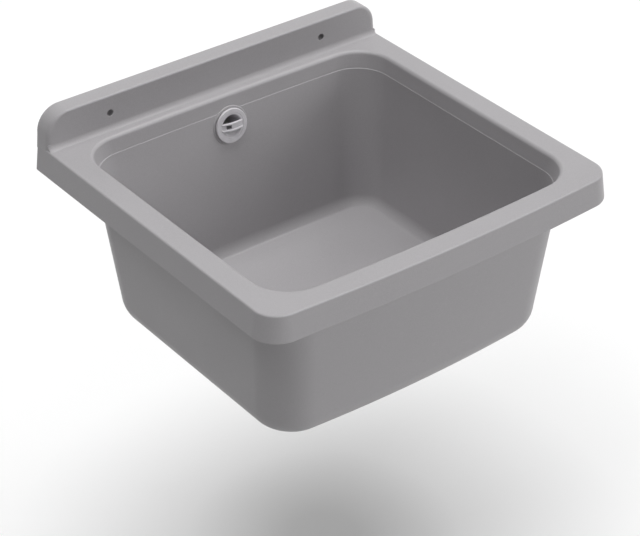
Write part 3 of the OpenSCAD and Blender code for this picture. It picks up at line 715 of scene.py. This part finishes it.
def grip_bar():
    arc_r = ((grip_width / 2) ** 2 + grip_rise ** 2) / (2 * grip_rise)
    foot = rosette_rim - rosette_dish - grip_thickness
    half, inner = grip_height / 2, grip_height / 2 - grip_rib_width
    top = grip_thickness + grip_rib_proud
    soft = 0.7
    cut = soft * 0.3
    section = [(-half, 0.0), (half, 0.0), (half, top - soft), (half - cut, top - cut),
               (half - soft, top), (inner + soft, top), (inner + cut, top - cut),
               (inner, top - soft), (inner - 0.5, grip_thickness)]
    section += [(-y, z) for y, z in reversed(section[2:])]
    rings = []
    reach = math.asin(grip_width / 2 / arc_r)
    for i in range(grip_steps + 1):
        a = -reach + 2 * reach * i / grip_steps
        rings.append([on_bar((arc_r + z) * math.sin(a), y,
                             foot + grip_rise - arc_r + (arc_r + z) * math.cos(a))
                      for y, z in section])
    return skin("grip", rings)


def rosette():
    edge = [(rosette_r - rosette_edge * (1 - math.cos(a)),
             rosette_rim - rosette_edge * (1 - math.sin(a))) for a in arc_angles(6)]
    inner, rim = rosette_bore + rosette_dish, rosette_rim
    profile = [(rosette_throat, -neck_length), (neck_r - 0.8, -neck_length),
               (neck_r - 0.1, 0.8 - neck_length)]
    for turn in range(neck_turns):
        z = -neck_length + 2.0 + neck_pitch * turn
        profile += [(neck_r, z), (neck_r - neck_thread, z + neck_pitch / 3),
                    (neck_r, z + neck_pitch * 2 / 3)]
    profile += [(neck_r, 0), (rosette_r - 1.6, 0), (rosette_r - 1.6, 0.7), (rosette_r - 0.3, 0.8),
                (rosette_r, 1.1)] + edge
    profile += [(inner + 3.2, rim), (inner + 2.9, rim - 0.35), (inner + 0.8, rim - 0.35),
                (inner + 0.2, rim - 0.6), (rosette_bore + 0.4, rim - rosette_dish - 0.4),
                (rosette_throat, -5.0)]
    ring = turned("rosette", profile, on_seat(0, 0, 0), off_seat)
    bar = grip_bar()
    combine(bar, [rod("keep", grip_end_r, -6, 10, on_seat(0, 0, 0), off_seat)], "INTERSECT")
    combine(ring, [bar], "UNION")
    soft = chain_hole_soft
    w, h = chain_hole[0] / 2 - soft, chain_hole[1] / 2 - soft
    square = []
    for cx, cy, first in ((w, h, 0), (-w, h, 90), (-w, -h, 180), (w, -h, 270)):
        square += [(cx + soft * math.cos(a), cy + soft * math.sin(a))
                   for a in arc_angles(4, first, first + 90)]
    face = [on_bar(chain_hole_at[0] + x, chain_hole_at[1] + y, 0.4) for x, y in square]
    combine(ring, [prism("chain_hole", face, off_seat * 14 * mm)], "DIFFERENCE")
    smooth(ring, 38.0)
    return ring


def patchy(name, patches, low, high, roughness, metallic=0.0):
    """A finish whose colour and roughness both follow one pattern of patches."""
    material, tree, shader, coords = new_material(name, metallic)
    patch = spread(tree, texture_noise(tree, coords, *patches), 0.0, 1.0)
    tree.links.new(tinted(tree, low, high, patch), shader.inputs["Base Color"])
    tree.links.new(spread(tree, patch, *roughness, 0.0, 1.0), shader.inputs["Roughness"])
    return material, tree, shader, coords


def satin_grey():
    """Light grey plastic, polished in the mould, with faint dull patches from handling."""
    material, tree, shader, coords = patchy("satin_grey", (120, 3), (0.59, 0.575, 0.60),
                                            (0.64, 0.625, 0.65), (0.36, 0.50))
    relief = grain(tree, texture_noise(tree, coords, 700, 2), 0.00005, 0.3)
    tree.links.new(relief, shader.inputs["Normal"])
    return material


dress(rosette(), "sink", "rosette_grey", satin_grey(), "overflow_rosette")


# Overflow gasket and elbow
# A white polypropylene elbow sits behind the bowl. Its flange presses a flat rubber ring on the
# clamping face, its chamber takes the rosette's neck, and its spout turns the water down.
spout_r = 14.5
pipe_r = 10.0
pipe_wall = 1.8
pipe_clearance = 0.3
elbow_spout = 46.0
fitting_wall = 3.0
gasket_thickness = 3.0
elbow_front = clamp_depth + gasket_thickness
elbow_reach = 31.0
elbow_end = elbow_front + elbow_reach
elbow_chamber_r = neck_r + 0.06 + fitting_wall
spout_back = overflow_seat_back - (elbow_end - spout_r - 1.0) * math.cos(overflow_lean)
spout_mouth_drop = overflow_drop + elbow_spout


def flat_ring(name, inner, outer, thickness, origin, axis):
    """A rubber ring with slightly rounded edges."""
    soft = min(0.6, thickness / 3)
    profile = []
    for r, h, first in ((outer - soft, soft, 270), (outer - soft, thickness - soft, 0),
                        (inner + soft, thickness - soft, 90), (inner + soft, soft, 180)):
        profile += [(r + soft * math.cos(a), h + soft * math.sin(a))
                    for a in arc_angles(3, first, first + 90)]
    ring = turned(name, profile, origin, axis)
    smooth(ring, 50.0)
    return ring


def spout_point(drop):
    return at(0, -spout_back, drop)


def spout(mouth, axis, length):
    """A spout from its mouth inwards, with the collar that its nut stops at."""
    tube = turned("spout", [(0, 0), (spout_r - 0.6, 0), (spout_r, 0.6), (spout_r, length),
                            (0, length)], mouth, axis)
    collar = turned("collar", [(0, 13), (spout_r + 0.8, 13), (spout_r + 1.2, 13.4),
                               (spout_r + 1.2, 15.2), (spout_r + 0.8, 15.6), (0, 15.6)],
                    mouth, axis)
    return [tube, collar]


def spout_bore(mouth, axis, length):
    """The bore of a spout, flared at its mouth for the seal."""
    bore_r = pipe_r + pipe_clearance
    return turned("bore", [(0, -1), (spout_r - 1.0, -1), (spout_r - 1.6, 0), (bore_r, 4),
                           (bore_r, length), (0, length)], mouth, axis)


elbow_mouth = spout_point(spout_mouth_drop)


def elbow():
    body = turned("elbow", [(0, -elbow_end), (elbow_chamber_r - 1.6, -elbow_end),
                            (elbow_chamber_r - 0.5, 0.5 - elbow_end),
                            (elbow_chamber_r, 1.6 - elbow_end),
                            (elbow_chamber_r, -elbow_front - 5.6),
                            (elbow_chamber_r + 0.5, -elbow_front - 4.6),
                            (elbow_chamber_r + 1.6, -elbow_front - 4.0),
                            (clamp_r - 0.8, -elbow_front - 4.0), (clamp_r, -elbow_front - 3.2),
                            (clamp_r, -elbow_front - clamp_chamfer),
                            (clamp_r - clamp_chamfer, -elbow_front), (0, -elbow_front)],
                  on_seat(0, 0, 0), off_seat)
    combine(body, spout(elbow_mouth, up, elbow_spout), "UNION")
    back = fitting_wall - elbow_end
    chamber = turned("chamber", [(0, back), (neck_r - 1, back), (neck_r + 0.06, back + 1),
                                 (neck_r + 0.06, 1 - elbow_front), (0, 1 - elbow_front)],
                     on_seat(0, 0, 0), off_seat)
    combine(body, [chamber, spout_bore(elbow_mouth, up, elbow_spout)], "DIFFERENCE")
    smooth(body)
    return body


def fitting_white():
    """White polypropylene: slightly waxy, with faint flow marks and a film of dust on top."""
    material, tree, shader, coords = patchy("fitting_white", (80, 3), (0.70, 0.70, 0.67),
                                            (0.76, 0.76, 0.74), (0.30, 0.45))
    shader.inputs["Subsurface Weight"].default_value = 0.08
    shader.inputs["Subsurface Radius"].default_value = (0.002, 0.002, 0.002)
    waves = grain(tree, texture_noise(tree, coords, 60, 1, (1, 1, 3)), 0.0003, 0.2)
    relief = grain(tree, texture_noise(tree, coords, 500, 2), 0.00006, 0.3, waves)
    tree.links.new(relief, shader.inputs["Normal"])
    return material


def black_rubber():
    """Black rubber with a dull bloom and a fine grain."""
    material, tree, shader, coords = patchy("black_rubber", (150, 4), (0.018, 0.018, 0.018),
                                            (0.035, 0.034, 0.033), (0.55, 0.72))
    relief = grain(tree, texture_noise(tree, coords, 1500, 2), 0.00006, 0.3)
    tree.links.new(relief, shader.inputs["Normal"])
    return material


white = fitting_white()
rubber = black_rubber()


def dress_white(piece, node):
    dress(piece, "sink", "fitting_white", white, node)


def dress_rubber(piece, node):
    dress(piece, "sink", "black_rubber", rubber, node)


dress_rubber(flat_ring("overflow_ring", neck_r + 0.4, clamp_r - 1, gasket_thickness,
                       on_seat(0, 0, -elbow_front), off_seat), "overflow_gasket")
dress_white(elbow(), "overflow_elbow")


# Overflow pipe, its nuts and its seals
# One rigid white pipe runs down from the elbow and, round a bend, along to the waste body. At each
# end a ribbed hand nut presses a conical rubber seal between pipe and spout.
branch_drop = floor_drop + drain_recess + wall + 3 + 4 + spout_r + 2
branch_mouth_back = drain_back - 52.0
branch_mouth = at(0, -branch_mouth_back, branch_drop)
bend_r = 60.0
bend_steps = 24
pipe_end = 12.0
nut_r = spout_r + 3.06
lug_count = 12
lug_section = ((-0.4, -1.5), (0.75, -1.3), (1.15, -0.7), (1.15, 0.7), (0.75, 1.3), (-0.4, 1.5))
lug_ends = ((-4.1, 0.2), (-3.5, 1.0), (8.2, 1.0), (9.2, 0.15))


def join(piece, *others):
    """Adds the meshes of other pieces to a piece as they stand."""
    mesh = bmesh.new()
    mesh.from_mesh(piece.data)
    for other in others:
        mesh.from_mesh(other.data)
        bpy.data.objects.remove(other)
    mesh.to_mesh(piece.data)
    mesh.free()


def hand_nut(name, origin, axis):
    """A nut round a spout's mouth, which faces down the axis from the origin."""
    r = nut_r
    nut = turned(name, [(spout_r + 0.1, 10.5), (spout_r + 0.6, 11), (r - 0.6, 11), (r, 10.4),
                        (r, -3.6), (r - 0.9, -4.5), (pipe_r + 0.9, -4.5), (pipe_r + 0.4, -4.0),
                        (pipe_r + 0.4, -2.1), (spout_r + 0.1, -2.1)], origin, axis)
    along, side, across = axis_frame(axis)
    lugs = []
    for turn in full_turn(lug_count):
        out = side * math.cos(turn) + across * math.sin(turn)
        round_nut = along.cross(out)
        rings = []
        for rise, grow in lug_ends:
            rings.append([origin + (out * (r + (d * grow if d > 0 else d)) + round_nut * w
                                    + along * rise) * mm for d, w in lug_section])
        lugs.append(skin("lug", rings))
    join(nut, *lugs)
    smooth(nut)
    return nut


def cone_seal(name, origin, axis):
    """The rubber between a pipe and the flare of a spout."""
    seal = turned(name, [(pipe_r + 0.06, -1.8), (pipe_r + 0.3, -2.0), (spout_r - 1.8, -2.0),
                         (spout_r - 1.65, -1.7), (spout_r - 1.65, -0.1), (pipe_r + 0.35, 3.7),
                         (pipe_r + 0.06, 3.7)], origin, axis)
    smooth(seal)
    return seal


def tube(name, path, outer, inner, steps=56):
    """A pipe along a path of points and directions in the plane X = 0."""
    across = Vector((1, 0, 0))
    rings = []
    for r, row in ((outer, path), (inner, path[::-1])):
        for point, way in row:
            side = way.cross(across)
            rings.append([point + (across * math.cos(a) + side * math.sin(a)) * r * mm
                          for a in full_turn(steps)])
    return skin(name, rings, closed=True)


def overflow_pipe():
    down, along = Vector((0, 0, -1)), Vector((0, -1, 0))
    path = [(spout_point(spout_mouth_drop - pipe_end), down),
            (spout_point(spout_mouth_drop + 40), down)]
    middle = at(0, -spout_back - bend_r, branch_drop - bend_r)
    for a in arc_angles(bend_steps):
        point = middle + (down * math.sin(a) - along * math.cos(a)) * bend_r * mm
        path.append((point, down * math.cos(a) + along * math.sin(a)))
    path.append((at(0, -branch_mouth_back - pipe_end, branch_drop), along))
    pipe = tube("pipe", path, pipe_r, pipe_r - pipe_wall)
    smooth(pipe)
    return pipe


dress_white(overflow_pipe(), "overflow_pipe")
dress_white(hand_nut("elbow_nut", elbow_mouth, up), "elbow_pipe_nut")
dress_white(hand_nut("branch_nut", branch_mouth, to_room), "branch_pipe_nut")
dress_rubber(cone_seal("elbow_seal", elbow_mouth, up), "elbow_pipe_seal")
dress_rubber(cone_seal("branch_seal", branch_mouth, to_room), "branch_pipe_seal")


# Waste body and its gaskets
# A white chamber hangs below the drain on a flat rubber ring. It takes the overflow's pipe at its
# side, carries the screw's nut on a bridge, and ends in a threaded outlet for the trap.
body_top = floor_drop + drain_recess + wall + 3.0
body_flange_r = drain_hole_r + 10
chamber_bore = drain_hole_r - 2.5
chamber_r = chamber_bore + fitting_wall
chamber_foot = body_top + 38
outlet_top = chamber_foot + 6
outlet_mouth = outlet_top + 24
outlet_r = 23.9
outlet_thread = 0.9
outlet_pitch = 2.8
boss_top = floor_drop + 15 + 1.5 + 0.5
hex_r = 5 / math.cos(math.radians(30))
shaft_r = 3.3


def coil(name, r, start, length, pitch, depth, origin, axis, steps=40):
    """The ridge of a screw thread, wound round an axis and faded out at both ends."""
    along, side, across = axis_frame(axis)
    foot, crest, sunk, fade_ends = 0.42 * pitch, 0.12 * pitch, -0.3, 6.0
    rings = []
    count = int(steps * length / pitch)
    for i in range(count + 1):
        turn = 2 * math.pi * i / steps
        out = side * math.cos(turn) + across * math.sin(turn)
        rise = start + pitch * i / steps
        proud = depth * min(1.0, fade_ends * i / count, fade_ends * (count - i) / count)
        section = [(sunk, -foot), (proud, -crest), (proud, crest), (sunk, foot)]
        rings.append([origin + (out * (r + dr) + along * (rise + dh)) * mm for dr, dh in section])
    return skin(name, rings)


def waste_body():
    root = outlet_r - outlet_thread
    solid = turned("waste", [(0, -body_top), (body_flange_r - 0.4, -body_top),
                             (body_flange_r, -body_top - 0.4), (body_flange_r, -body_top - 3.2),
                             (body_flange_r - 0.8, -body_top - 4), (chamber_r + 1.4, -body_top - 4),
                             (chamber_r + 0.4, -body_top - 4.5), (chamber_r, -body_top - 5.4),
                             (chamber_r, -chamber_foot + 1.2), (chamber_r - 0.5, -chamber_foot),
                             (outlet_r + 0.3, -outlet_top + 0.4), (root, -outlet_top - 0.6),
                             (root, -outlet_mouth + 0.8), (root - 0.7, -outlet_mouth),
                             (0, -outlet_mouth)], drain_point(0), up)
    combine(solid, spout(branch_mouth, to_room, 50), "UNION")
    bore_r = outlet_r - fitting_wall
    cavity = turned("cavity", [(0, 1 - body_top), (chamber_bore, 1 - body_top),
                               (chamber_bore, -chamber_foot), (bore_r, -outlet_top),
                               (bore_r, -outlet_mouth - 1), (0, -outlet_mouth - 1)],
                    drain_point(0), up)
    combine(solid, [cavity, spout_bore(branch_mouth, to_room, 34)], "DIFFERENCE")
    boss = turned("boss", [(0, -12), (7.4, -12), (8, -11.4), (8, -0.6), (7.4, 0), (0, 0)],
                  drain_point(boss_top), up)
    half = (chamber_bore + fitting_wall / 2) * mm
    face = [drain_point(boss_top) + Vector((-half, y * mm, z * mm))
            for y, z in ((-2.5, -9), (-2.5, -0.4), (-2.1, 0), (2.1, 0), (2.5, -0.4), (2.5, -9))]
    combine(solid, [boss, prism("bridge", face, Vector((2 * half, 0, 0)))], "UNION")
    pocket = rod("pocket", hex_r + 0.06, -13, -7, drain_point(boss_top), up, steps=6)
    shaft = rod("shaft", shaft_r, -13, 1, drain_point(boss_top), up)
    combine(solid, [pocket, shaft], "DIFFERENCE")
    join(solid, coil("thread", root, -outlet_mouth + 2.2, 18, outlet_pitch, outlet_thread,
                     drain_point(0), up, 72))
    smooth(solid)
    return solid


dress_white(waste_body(), "waste_body")
dress_rubber(flat_ring("waste_ring", drain_hole_r, body_flange_r - 1, gasket_thickness,
                       drain_point(body_top), up), "waste_gasket")
dress_rubber(flat_ring("strainer_ring", drain_hole_r, strainer_r - 1, 1.5,
                       drain_point(floor_drop + drain_recess), up), "strainer_gasket")


# Strainer and its screw
# A pressed stainless strainer sits in the recess round the drain, on a thin gasket. One long screw
# through its foot draws up a brass nut in the waste body and clamps the moulding between them.
sheet = 1.5
cup_mouth_r = 24.5
cup_foot_r = 20.5
cup_depth = 15.0
cup_foot = floor_drop + cup_depth
cup_lip_r = 1.5
strainer_edge_r = 0.7
strainer_holes = 8
strainer_hole_r = 3.5
strainer_hole_circle = 13.25
screw_length = sheet + 0.5 + 12 + 2
screw_r = 2.55


def strainer():
    slope = math.hypot(cup_mouth_r - cup_foot_r, cup_depth)
    off = sheet * slope / cup_depth
    outside = [(strainer_r - 0.2, -sheet), (cup_mouth_r + off + 1.2, -sheet),
               (cup_mouth_r + off - 0.2, -sheet - 1.0),
               (cup_foot_r + sheet, 1.2 - cup_depth - sheet),
               (cup_foot_r + sheet - 1.1, -cup_depth - sheet), (shaft_r, -cup_depth - sheet)]
    inside = [(shaft_r, -cup_depth), (cup_foot_r - 1.8, -cup_depth),
              (cup_foot_r - 0.6, 0.35 - cup_depth), (cup_foot_r + 0.25, 1.3 - cup_depth)]
    inside += [(cup_mouth_r - 0.3 + cup_lip_r * (1 - math.cos(a)) * 0.7,
                cup_lip_r * math.sin(a) - cup_lip_r) for a in arc_angles(5)]
    rim = [(strainer_r - strainer_edge_r * (1 - math.sin(a)), -strainer_edge_r * (1 - math.cos(a)))
           for a in arc_angles(4)]
    cup = turned("strainer_cup", outside + inside + rim, drain_point(floor_drop), up)
    hole_r, bevelled_r = strainer_hole_r, strainer_hole_r + 0.7
    holes = []
    for turn in full_turn(strainer_holes):
        turn += math.pi / strainer_holes
        out = Vector((math.cos(turn), math.sin(turn), 0))
        holes.append(turned("hole", [(0, -3), (hole_r, -3), (hole_r, -0.35), (bevelled_r, 0.1),
                                     (bevelled_r, 2), (0, 2)],
                            drain_point(cup_foot) + out * strainer_hole_circle * mm, up, steps=32))
    combine(cup, holes, "DIFFERENCE")
    smooth(cup, 40.0)
    return cup


def strainer_screw():
    head, foot = drain_point(cup_foot), -screw_length
    body = turned("screw", [(0, foot), (2.2, foot), (screw_r, foot + 0.6), (screw_r, -0.8),
                            (3.0, -0.2), (3.0, 0), (5.4, 0), (5.4, 0.5), (4.9, 1.5), (3.6, 2.2),
                            (1.8, 2.47), (0, 2.5)], head, up)
    slot = [head + Vector((-7, y, z)) * mm
            for y, z in ((-0.7, 1.2), (-0.7, 4.2), (0.7, 4.2), (0.7, 1.2))]
    combine(body, [prism("slot", slot, Vector((14 * mm, 0, 0)))], "DIFFERENCE")
    join(body, coil("thread", screw_r, foot + 0.5, 12.5, 1.0, 0.42, head, up, 24))
    smooth(body)
    return body


def brass_nut():
    nut = turned("nut", [(3.05, 0.3), (3.4, 0), (hex_r - 0.25, 0), (hex_r, 0.3), (hex_r, 4.7),
                         (hex_r - 0.25, 5), (3.4, 5), (3.05, 4.7)],
                 drain_point(boss_top + 12), up, steps=6)
    smooth(nut, 20.0)
    return nut


def pressed_steel():
    """Stainless sheet with fine brushing and small water marks."""
    material, tree, shader, coords = new_material("pressed_steel", metallic=1.0)
    brush = spread(tree, texture_noise(tree, coords, 900, 4, (1, 12, 1)), 0.0, 1.0)
    marks = spread(tree, texture_noise(tree, coords, 140, 3), 0.0, 1.0)
    tree.links.new(tinted(tree, (0.46, 0.46, 0.47), (0.56, 0.56, 0.57), marks),
                   shader.inputs["Base Color"])
    tree.links.new(spread(tree, brush, 0.24, 0.38, 0.0, 1.0), shader.inputs["Roughness"])
    tree.links.new(grain(tree, brush, 0.00003, 0.25), shader.inputs["Normal"])
    return material


def turned_brass():
    """Brass, lightly tarnished."""
    return patchy("turned_brass", (300, 3), (0.68, 0.47, 0.20), (0.52, 0.35, 0.15), (0.25, 0.45),
                  metallic=1.0)[0]


steel = pressed_steel()
dress(strainer(), "sink", "steel", steel, "strainer")
dress(strainer_screw(), "sink", "steel", steel, "strainer_screw")
dress(brass_nut(), "sink", "brass", turned_brass(), "brass_nut")


# Waste plug with its eye and ring
# A black rubber plug rests in the strainer's cup. A wire eye stands on its crown on a small washer,
# and a loose pull ring hangs in the eye and lies over to the right.
plug_r = cup_mouth_r - 0.3
plug_foot = 1.8 - cup_depth
plug_foot_r = plug_r + (cup_mouth_r - cup_foot_r) / cup_depth * plug_foot
crown = 2.5
crown_r = 12.0
eye_r = 4.0
eye_wire = 1.0
eye_z = crown + 0.8 + eye_r
ring_r = 11.0
ring_wire = 0.8
ring_gap = 0.3


def wire_ring(name, middle, across, up_ring, r, wire):
    """A ring of round wire in the plane of two directions."""
    side = across.cross(up_ring)
    rings = []
    for a in full_turn(72):
        out = across * math.cos(a) + up_ring * math.sin(a)
        rings.append([middle + (out * (r + wire * math.cos(b)) + side * wire * math.sin(b)) * mm
                      for b in full_turn(20)])
    return skin(name, rings, closed=True)


def plug():
    foot = plug_foot
    profile = [(0, foot + 5), (8.4, foot + 5), (8.9, foot + 4.5), (8.9, foot + 0.3), (9.3, foot),
               (plug_foot_r - 1.1, foot), (plug_foot_r - 0.1, foot + 0.9)]
    side = (plug_r - plug_foot_r) / -foot
    for z in (foot + 3.4, foot + 6.6):
        r = plug_foot_r + side * (z - foot)
        profile += [(r - 0.1, z - 0.8), (r - 0.5, z - 0.5), (r - 0.5, z + 0.5), (r - 0.05, z + 0.8)]
    edge = 0.62
    profile += [(plug_r - 0.1, -0.6), (plug_r, 0.0), (plug_r - 0.1, 0.35), (plug_r - 0.6, edge)]
    profile += [(crown_r + (plug_r - 0.6 - crown_r) * (1 - math.sin(a)),
                 edge + (crown - edge) * (1 - math.cos(a)) ** 0.9) for a in arc_angles(6)[1:-1]]
    profile += [(crown_r, crown), (2.06, crown), (2.06, foot + 7.5), (0, foot + 7.5)]
    body = turned("plug", profile, drain_point(floor_drop), up)
    smooth(body)
    return body


def plug_eye():
    middle = drain_point(floor_drop)
    eye = wire_ring("eye", middle + up * eye_z * mm, Vector((1, 0, 0)), up, eye_r, eye_wire)
    washer = turned("washer", [(0, crown), (4.8, crown), (5, crown + 0.2), (5, crown + 0.55),
                               (4.7, crown + 0.8), (0, crown + 0.8)], middle, up)
    stem = turned("stem", [(0, plug_foot + 7.6), (1.7, plug_foot + 7.6), (2.0, plug_foot + 7.9),
                           (2.0, crown + 0.4), (0, crown + 0.4)], middle, up)
    collar = turned("collar", [(0, crown + 0.4), (2.1, crown + 0.4), (1.8, crown + 1.1),
                               (1.0, crown + 1.4), (0, crown + 1.4)], middle, up)
    join(eye, washer, stem, collar)
    smooth(eye, 50.0)
    return eye


def crown_at(r):
    """Height of the plug's crown at a radius."""
    return between(crown, 0.6, max(0.0, (r - crown_r) / (plug_r - crown_r)))


def pull_ring():
    low = crown_at(2 * ring_r)
    tilt = math.asin((eye_z - low - ring_wire - ring_gap) / (2 * ring_r))
    out = Vector((math.cos(tilt), 0, -math.sin(tilt)))
    middle = drain_point(floor_drop) + up * eye_z * mm + out * ring_r * mm
    ring = wire_ring("ring", middle, out, Vector((0, 1, 0)), ring_r, ring_wire)
    smooth(ring, 50.0)
    return ring


dress(plug(), "plug", "black_rubber", rubber, "waste_plug")
dress(plug_eye(), "plug", "steel", steel, "plug_eye")
dress(pull_ring(), "ring", "steel", steel, "pull_ring")


# Studio
# A white sheet lies on the floor, about 30 cm below the waste. Soft light comes from above and from
# the front right, and less of it from the other sides. The sheet has a glow of its own, seen
# directly and in reflections, which lights nothing else. Far from the sink the glow makes the sheet
# look evenly white. Towards the point below the drain it fades, which paints a darker shadow under
# the sink over the shadow that the lamps cast.
floor_height = -0.657
floor_half = 6.0
floor_grey = 0.50
# Glow by distance from the point below the drain: weak there, which paints shadow under the sink,
# and strong far off, where it makes the sheet look evenly white.
glow_painted_shadow_stops = ((0.05, 0.14), (0.20, 0.335), (0.45, 0.475), (0.80, 0.52))


def seen_directly(tree):
    """1 for what is looked at, in a mirror or through glass too, and 0 for what only lights."""
    path = tree.nodes.new("ShaderNodeLightPath")
    seen = path.outputs["Is Camera Ray"]
    for ray in ("Is Glossy Ray", "Is Transmission Ray"):
        either = tree.nodes.new("ShaderNodeMath")
        either.operation = "MAXIMUM"
        tree.links.new(seen, either.inputs[0])
        tree.links.new(path.outputs[ray], either.inputs[1])
        seen = either.outputs["Value"]
    return seen


def studio_floor():
    corners = [Vector((x, y, floor_height)) for x, y in
               ((-floor_half, -floor_half), (floor_half, -floor_half),
                (floor_half, floor_half), (-floor_half, floor_half))]
    data = bpy.data.meshes.new("floor")
    data.from_pydata(corners, [], [(0, 1, 2, 3)])
    sheet = bpy.data.objects.new("floor", data)
    bpy.context.scene.collection.objects.link(sheet)
    material = bpy.data.materials.new("floor_white_painted_shadow")
    material.use_nodes = True
    tree = material.node_tree
    shader = tree.nodes["Principled BSDF"]
    shader.inputs["Base Color"].default_value = (floor_grey, floor_grey, floor_grey, 1)
    shader.inputs["Roughness"].default_value = 0.9
    shader.inputs["Specular IOR Level"].default_value = 0.0
    away = tree.nodes.new("ShaderNodeVectorMath")
    away.operation = "DISTANCE"
    away.inputs[1].default_value = (0.0, -0.26, floor_height)
    tree.links.new(tree.nodes.new("ShaderNodeTexCoord").outputs["Object"], away.inputs[0])
    # This glow paints the darker shadow under the sink, and whitens the sheet further off.
    glow_painted_shadow = tree.nodes.new("ShaderNodeValToRGB")
    while len(glow_painted_shadow.color_ramp.elements) < len(glow_painted_shadow_stops):
        glow_painted_shadow.color_ramp.elements.new(0.5)
    for stop, (place, level) in zip(glow_painted_shadow.color_ramp.elements, glow_painted_shadow_stops):
        stop.position = place
        stop.color = (level, level, level, 1)
    tree.links.new(away.outputs["Value"], glow_painted_shadow.inputs["Fac"])
    painted_shadow_lift = tree.nodes.new("ShaderNodeMath")
    painted_shadow_lift.operation = "MULTIPLY"
    tree.links.new(glow_painted_shadow.outputs["Color"], painted_shadow_lift.inputs[1])
    tree.links.new(seen_directly(tree), painted_shadow_lift.inputs[0])
    tree.links.new(painted_shadow_lift.outputs["Value"], shader.inputs["Emission Strength"])
    shader.inputs["Emission Color"].default_value = (1, 1, 1, 1)
    data.materials.append(material)


lowest_shine = 30.0


def soft_light(name, azimuth, elevation, spread_angle, strength, glint=False):
    """Even light from one part of the sky, its azimuth counted from the front to the right. A glint
    only adds to highlights, and a low light adds none, so the deck doesn't glare from behind."""
    data = bpy.data.lights.new(name, "SUN")
    data.angle = math.radians(spread_angle)
    data.energy = strength
    lamp = bpy.data.objects.new(name, data)
    lamp.visible_diffuse = not glint
    lamp.visible_glossy = elevation > lowest_shine
    bpy.context.scene.collection.objects.link(lamp)
    turn, rise = math.radians(azimuth), math.radians(elevation)
    source = Vector((math.sin(turn) * math.cos(rise), -math.cos(turn) * math.cos(rise),
                     math.sin(rise)))
    lamp.rotation_euler = (-source).to_track_quat("-Z", "Y").to_euler()


def studio_world():
    world = bpy.data.worlds.new("studio")
    bpy.context.scene.world = world
    world.use_nodes = True
    tree = world.node_tree
    light = tree.nodes["Background"]
    plain = tree.nodes.new("ShaderNodeBackground")
    for sky, strength in ((light, 0.02), (plain, 1.0)):
        sky.inputs["Color"].default_value = (1, 1, 1, 1)
        sky.inputs["Strength"].default_value = strength
    choose = tree.nodes.new("ShaderNodeMixShader")
    tree.links.new(seen_directly(tree), choose.inputs["Fac"])
    tree.links.new(light.outputs["Background"], choose.inputs[1])
    tree.links.new(plain.outputs["Background"], choose.inputs[2])
    tree.links.new(choose.outputs["Shader"], tree.nodes["World Output"].inputs["Surface"])


studio_floor()
studio_world()
soft_light("overhead", 0.0, 90.0, 30.0, 1.02)
soft_light("left_high", -90.0, 65.0, 30.0, 0.86)
soft_light("right_high", 90.0, 60.0, 40.0, 0.83)
soft_light("right_glint", 90.0, 68.0, 9.0, 0.6, glint=True)
soft_light("front_right", 45.0, 20.0, 30.0, 0.97)
soft_light("front", 0.0, 20.0, 30.0, 0.49)
soft_light("behind", 180.0, 8.0, 30.0, 0.88)
bpy.context.scene.view_settings.view_transform = "Standard"
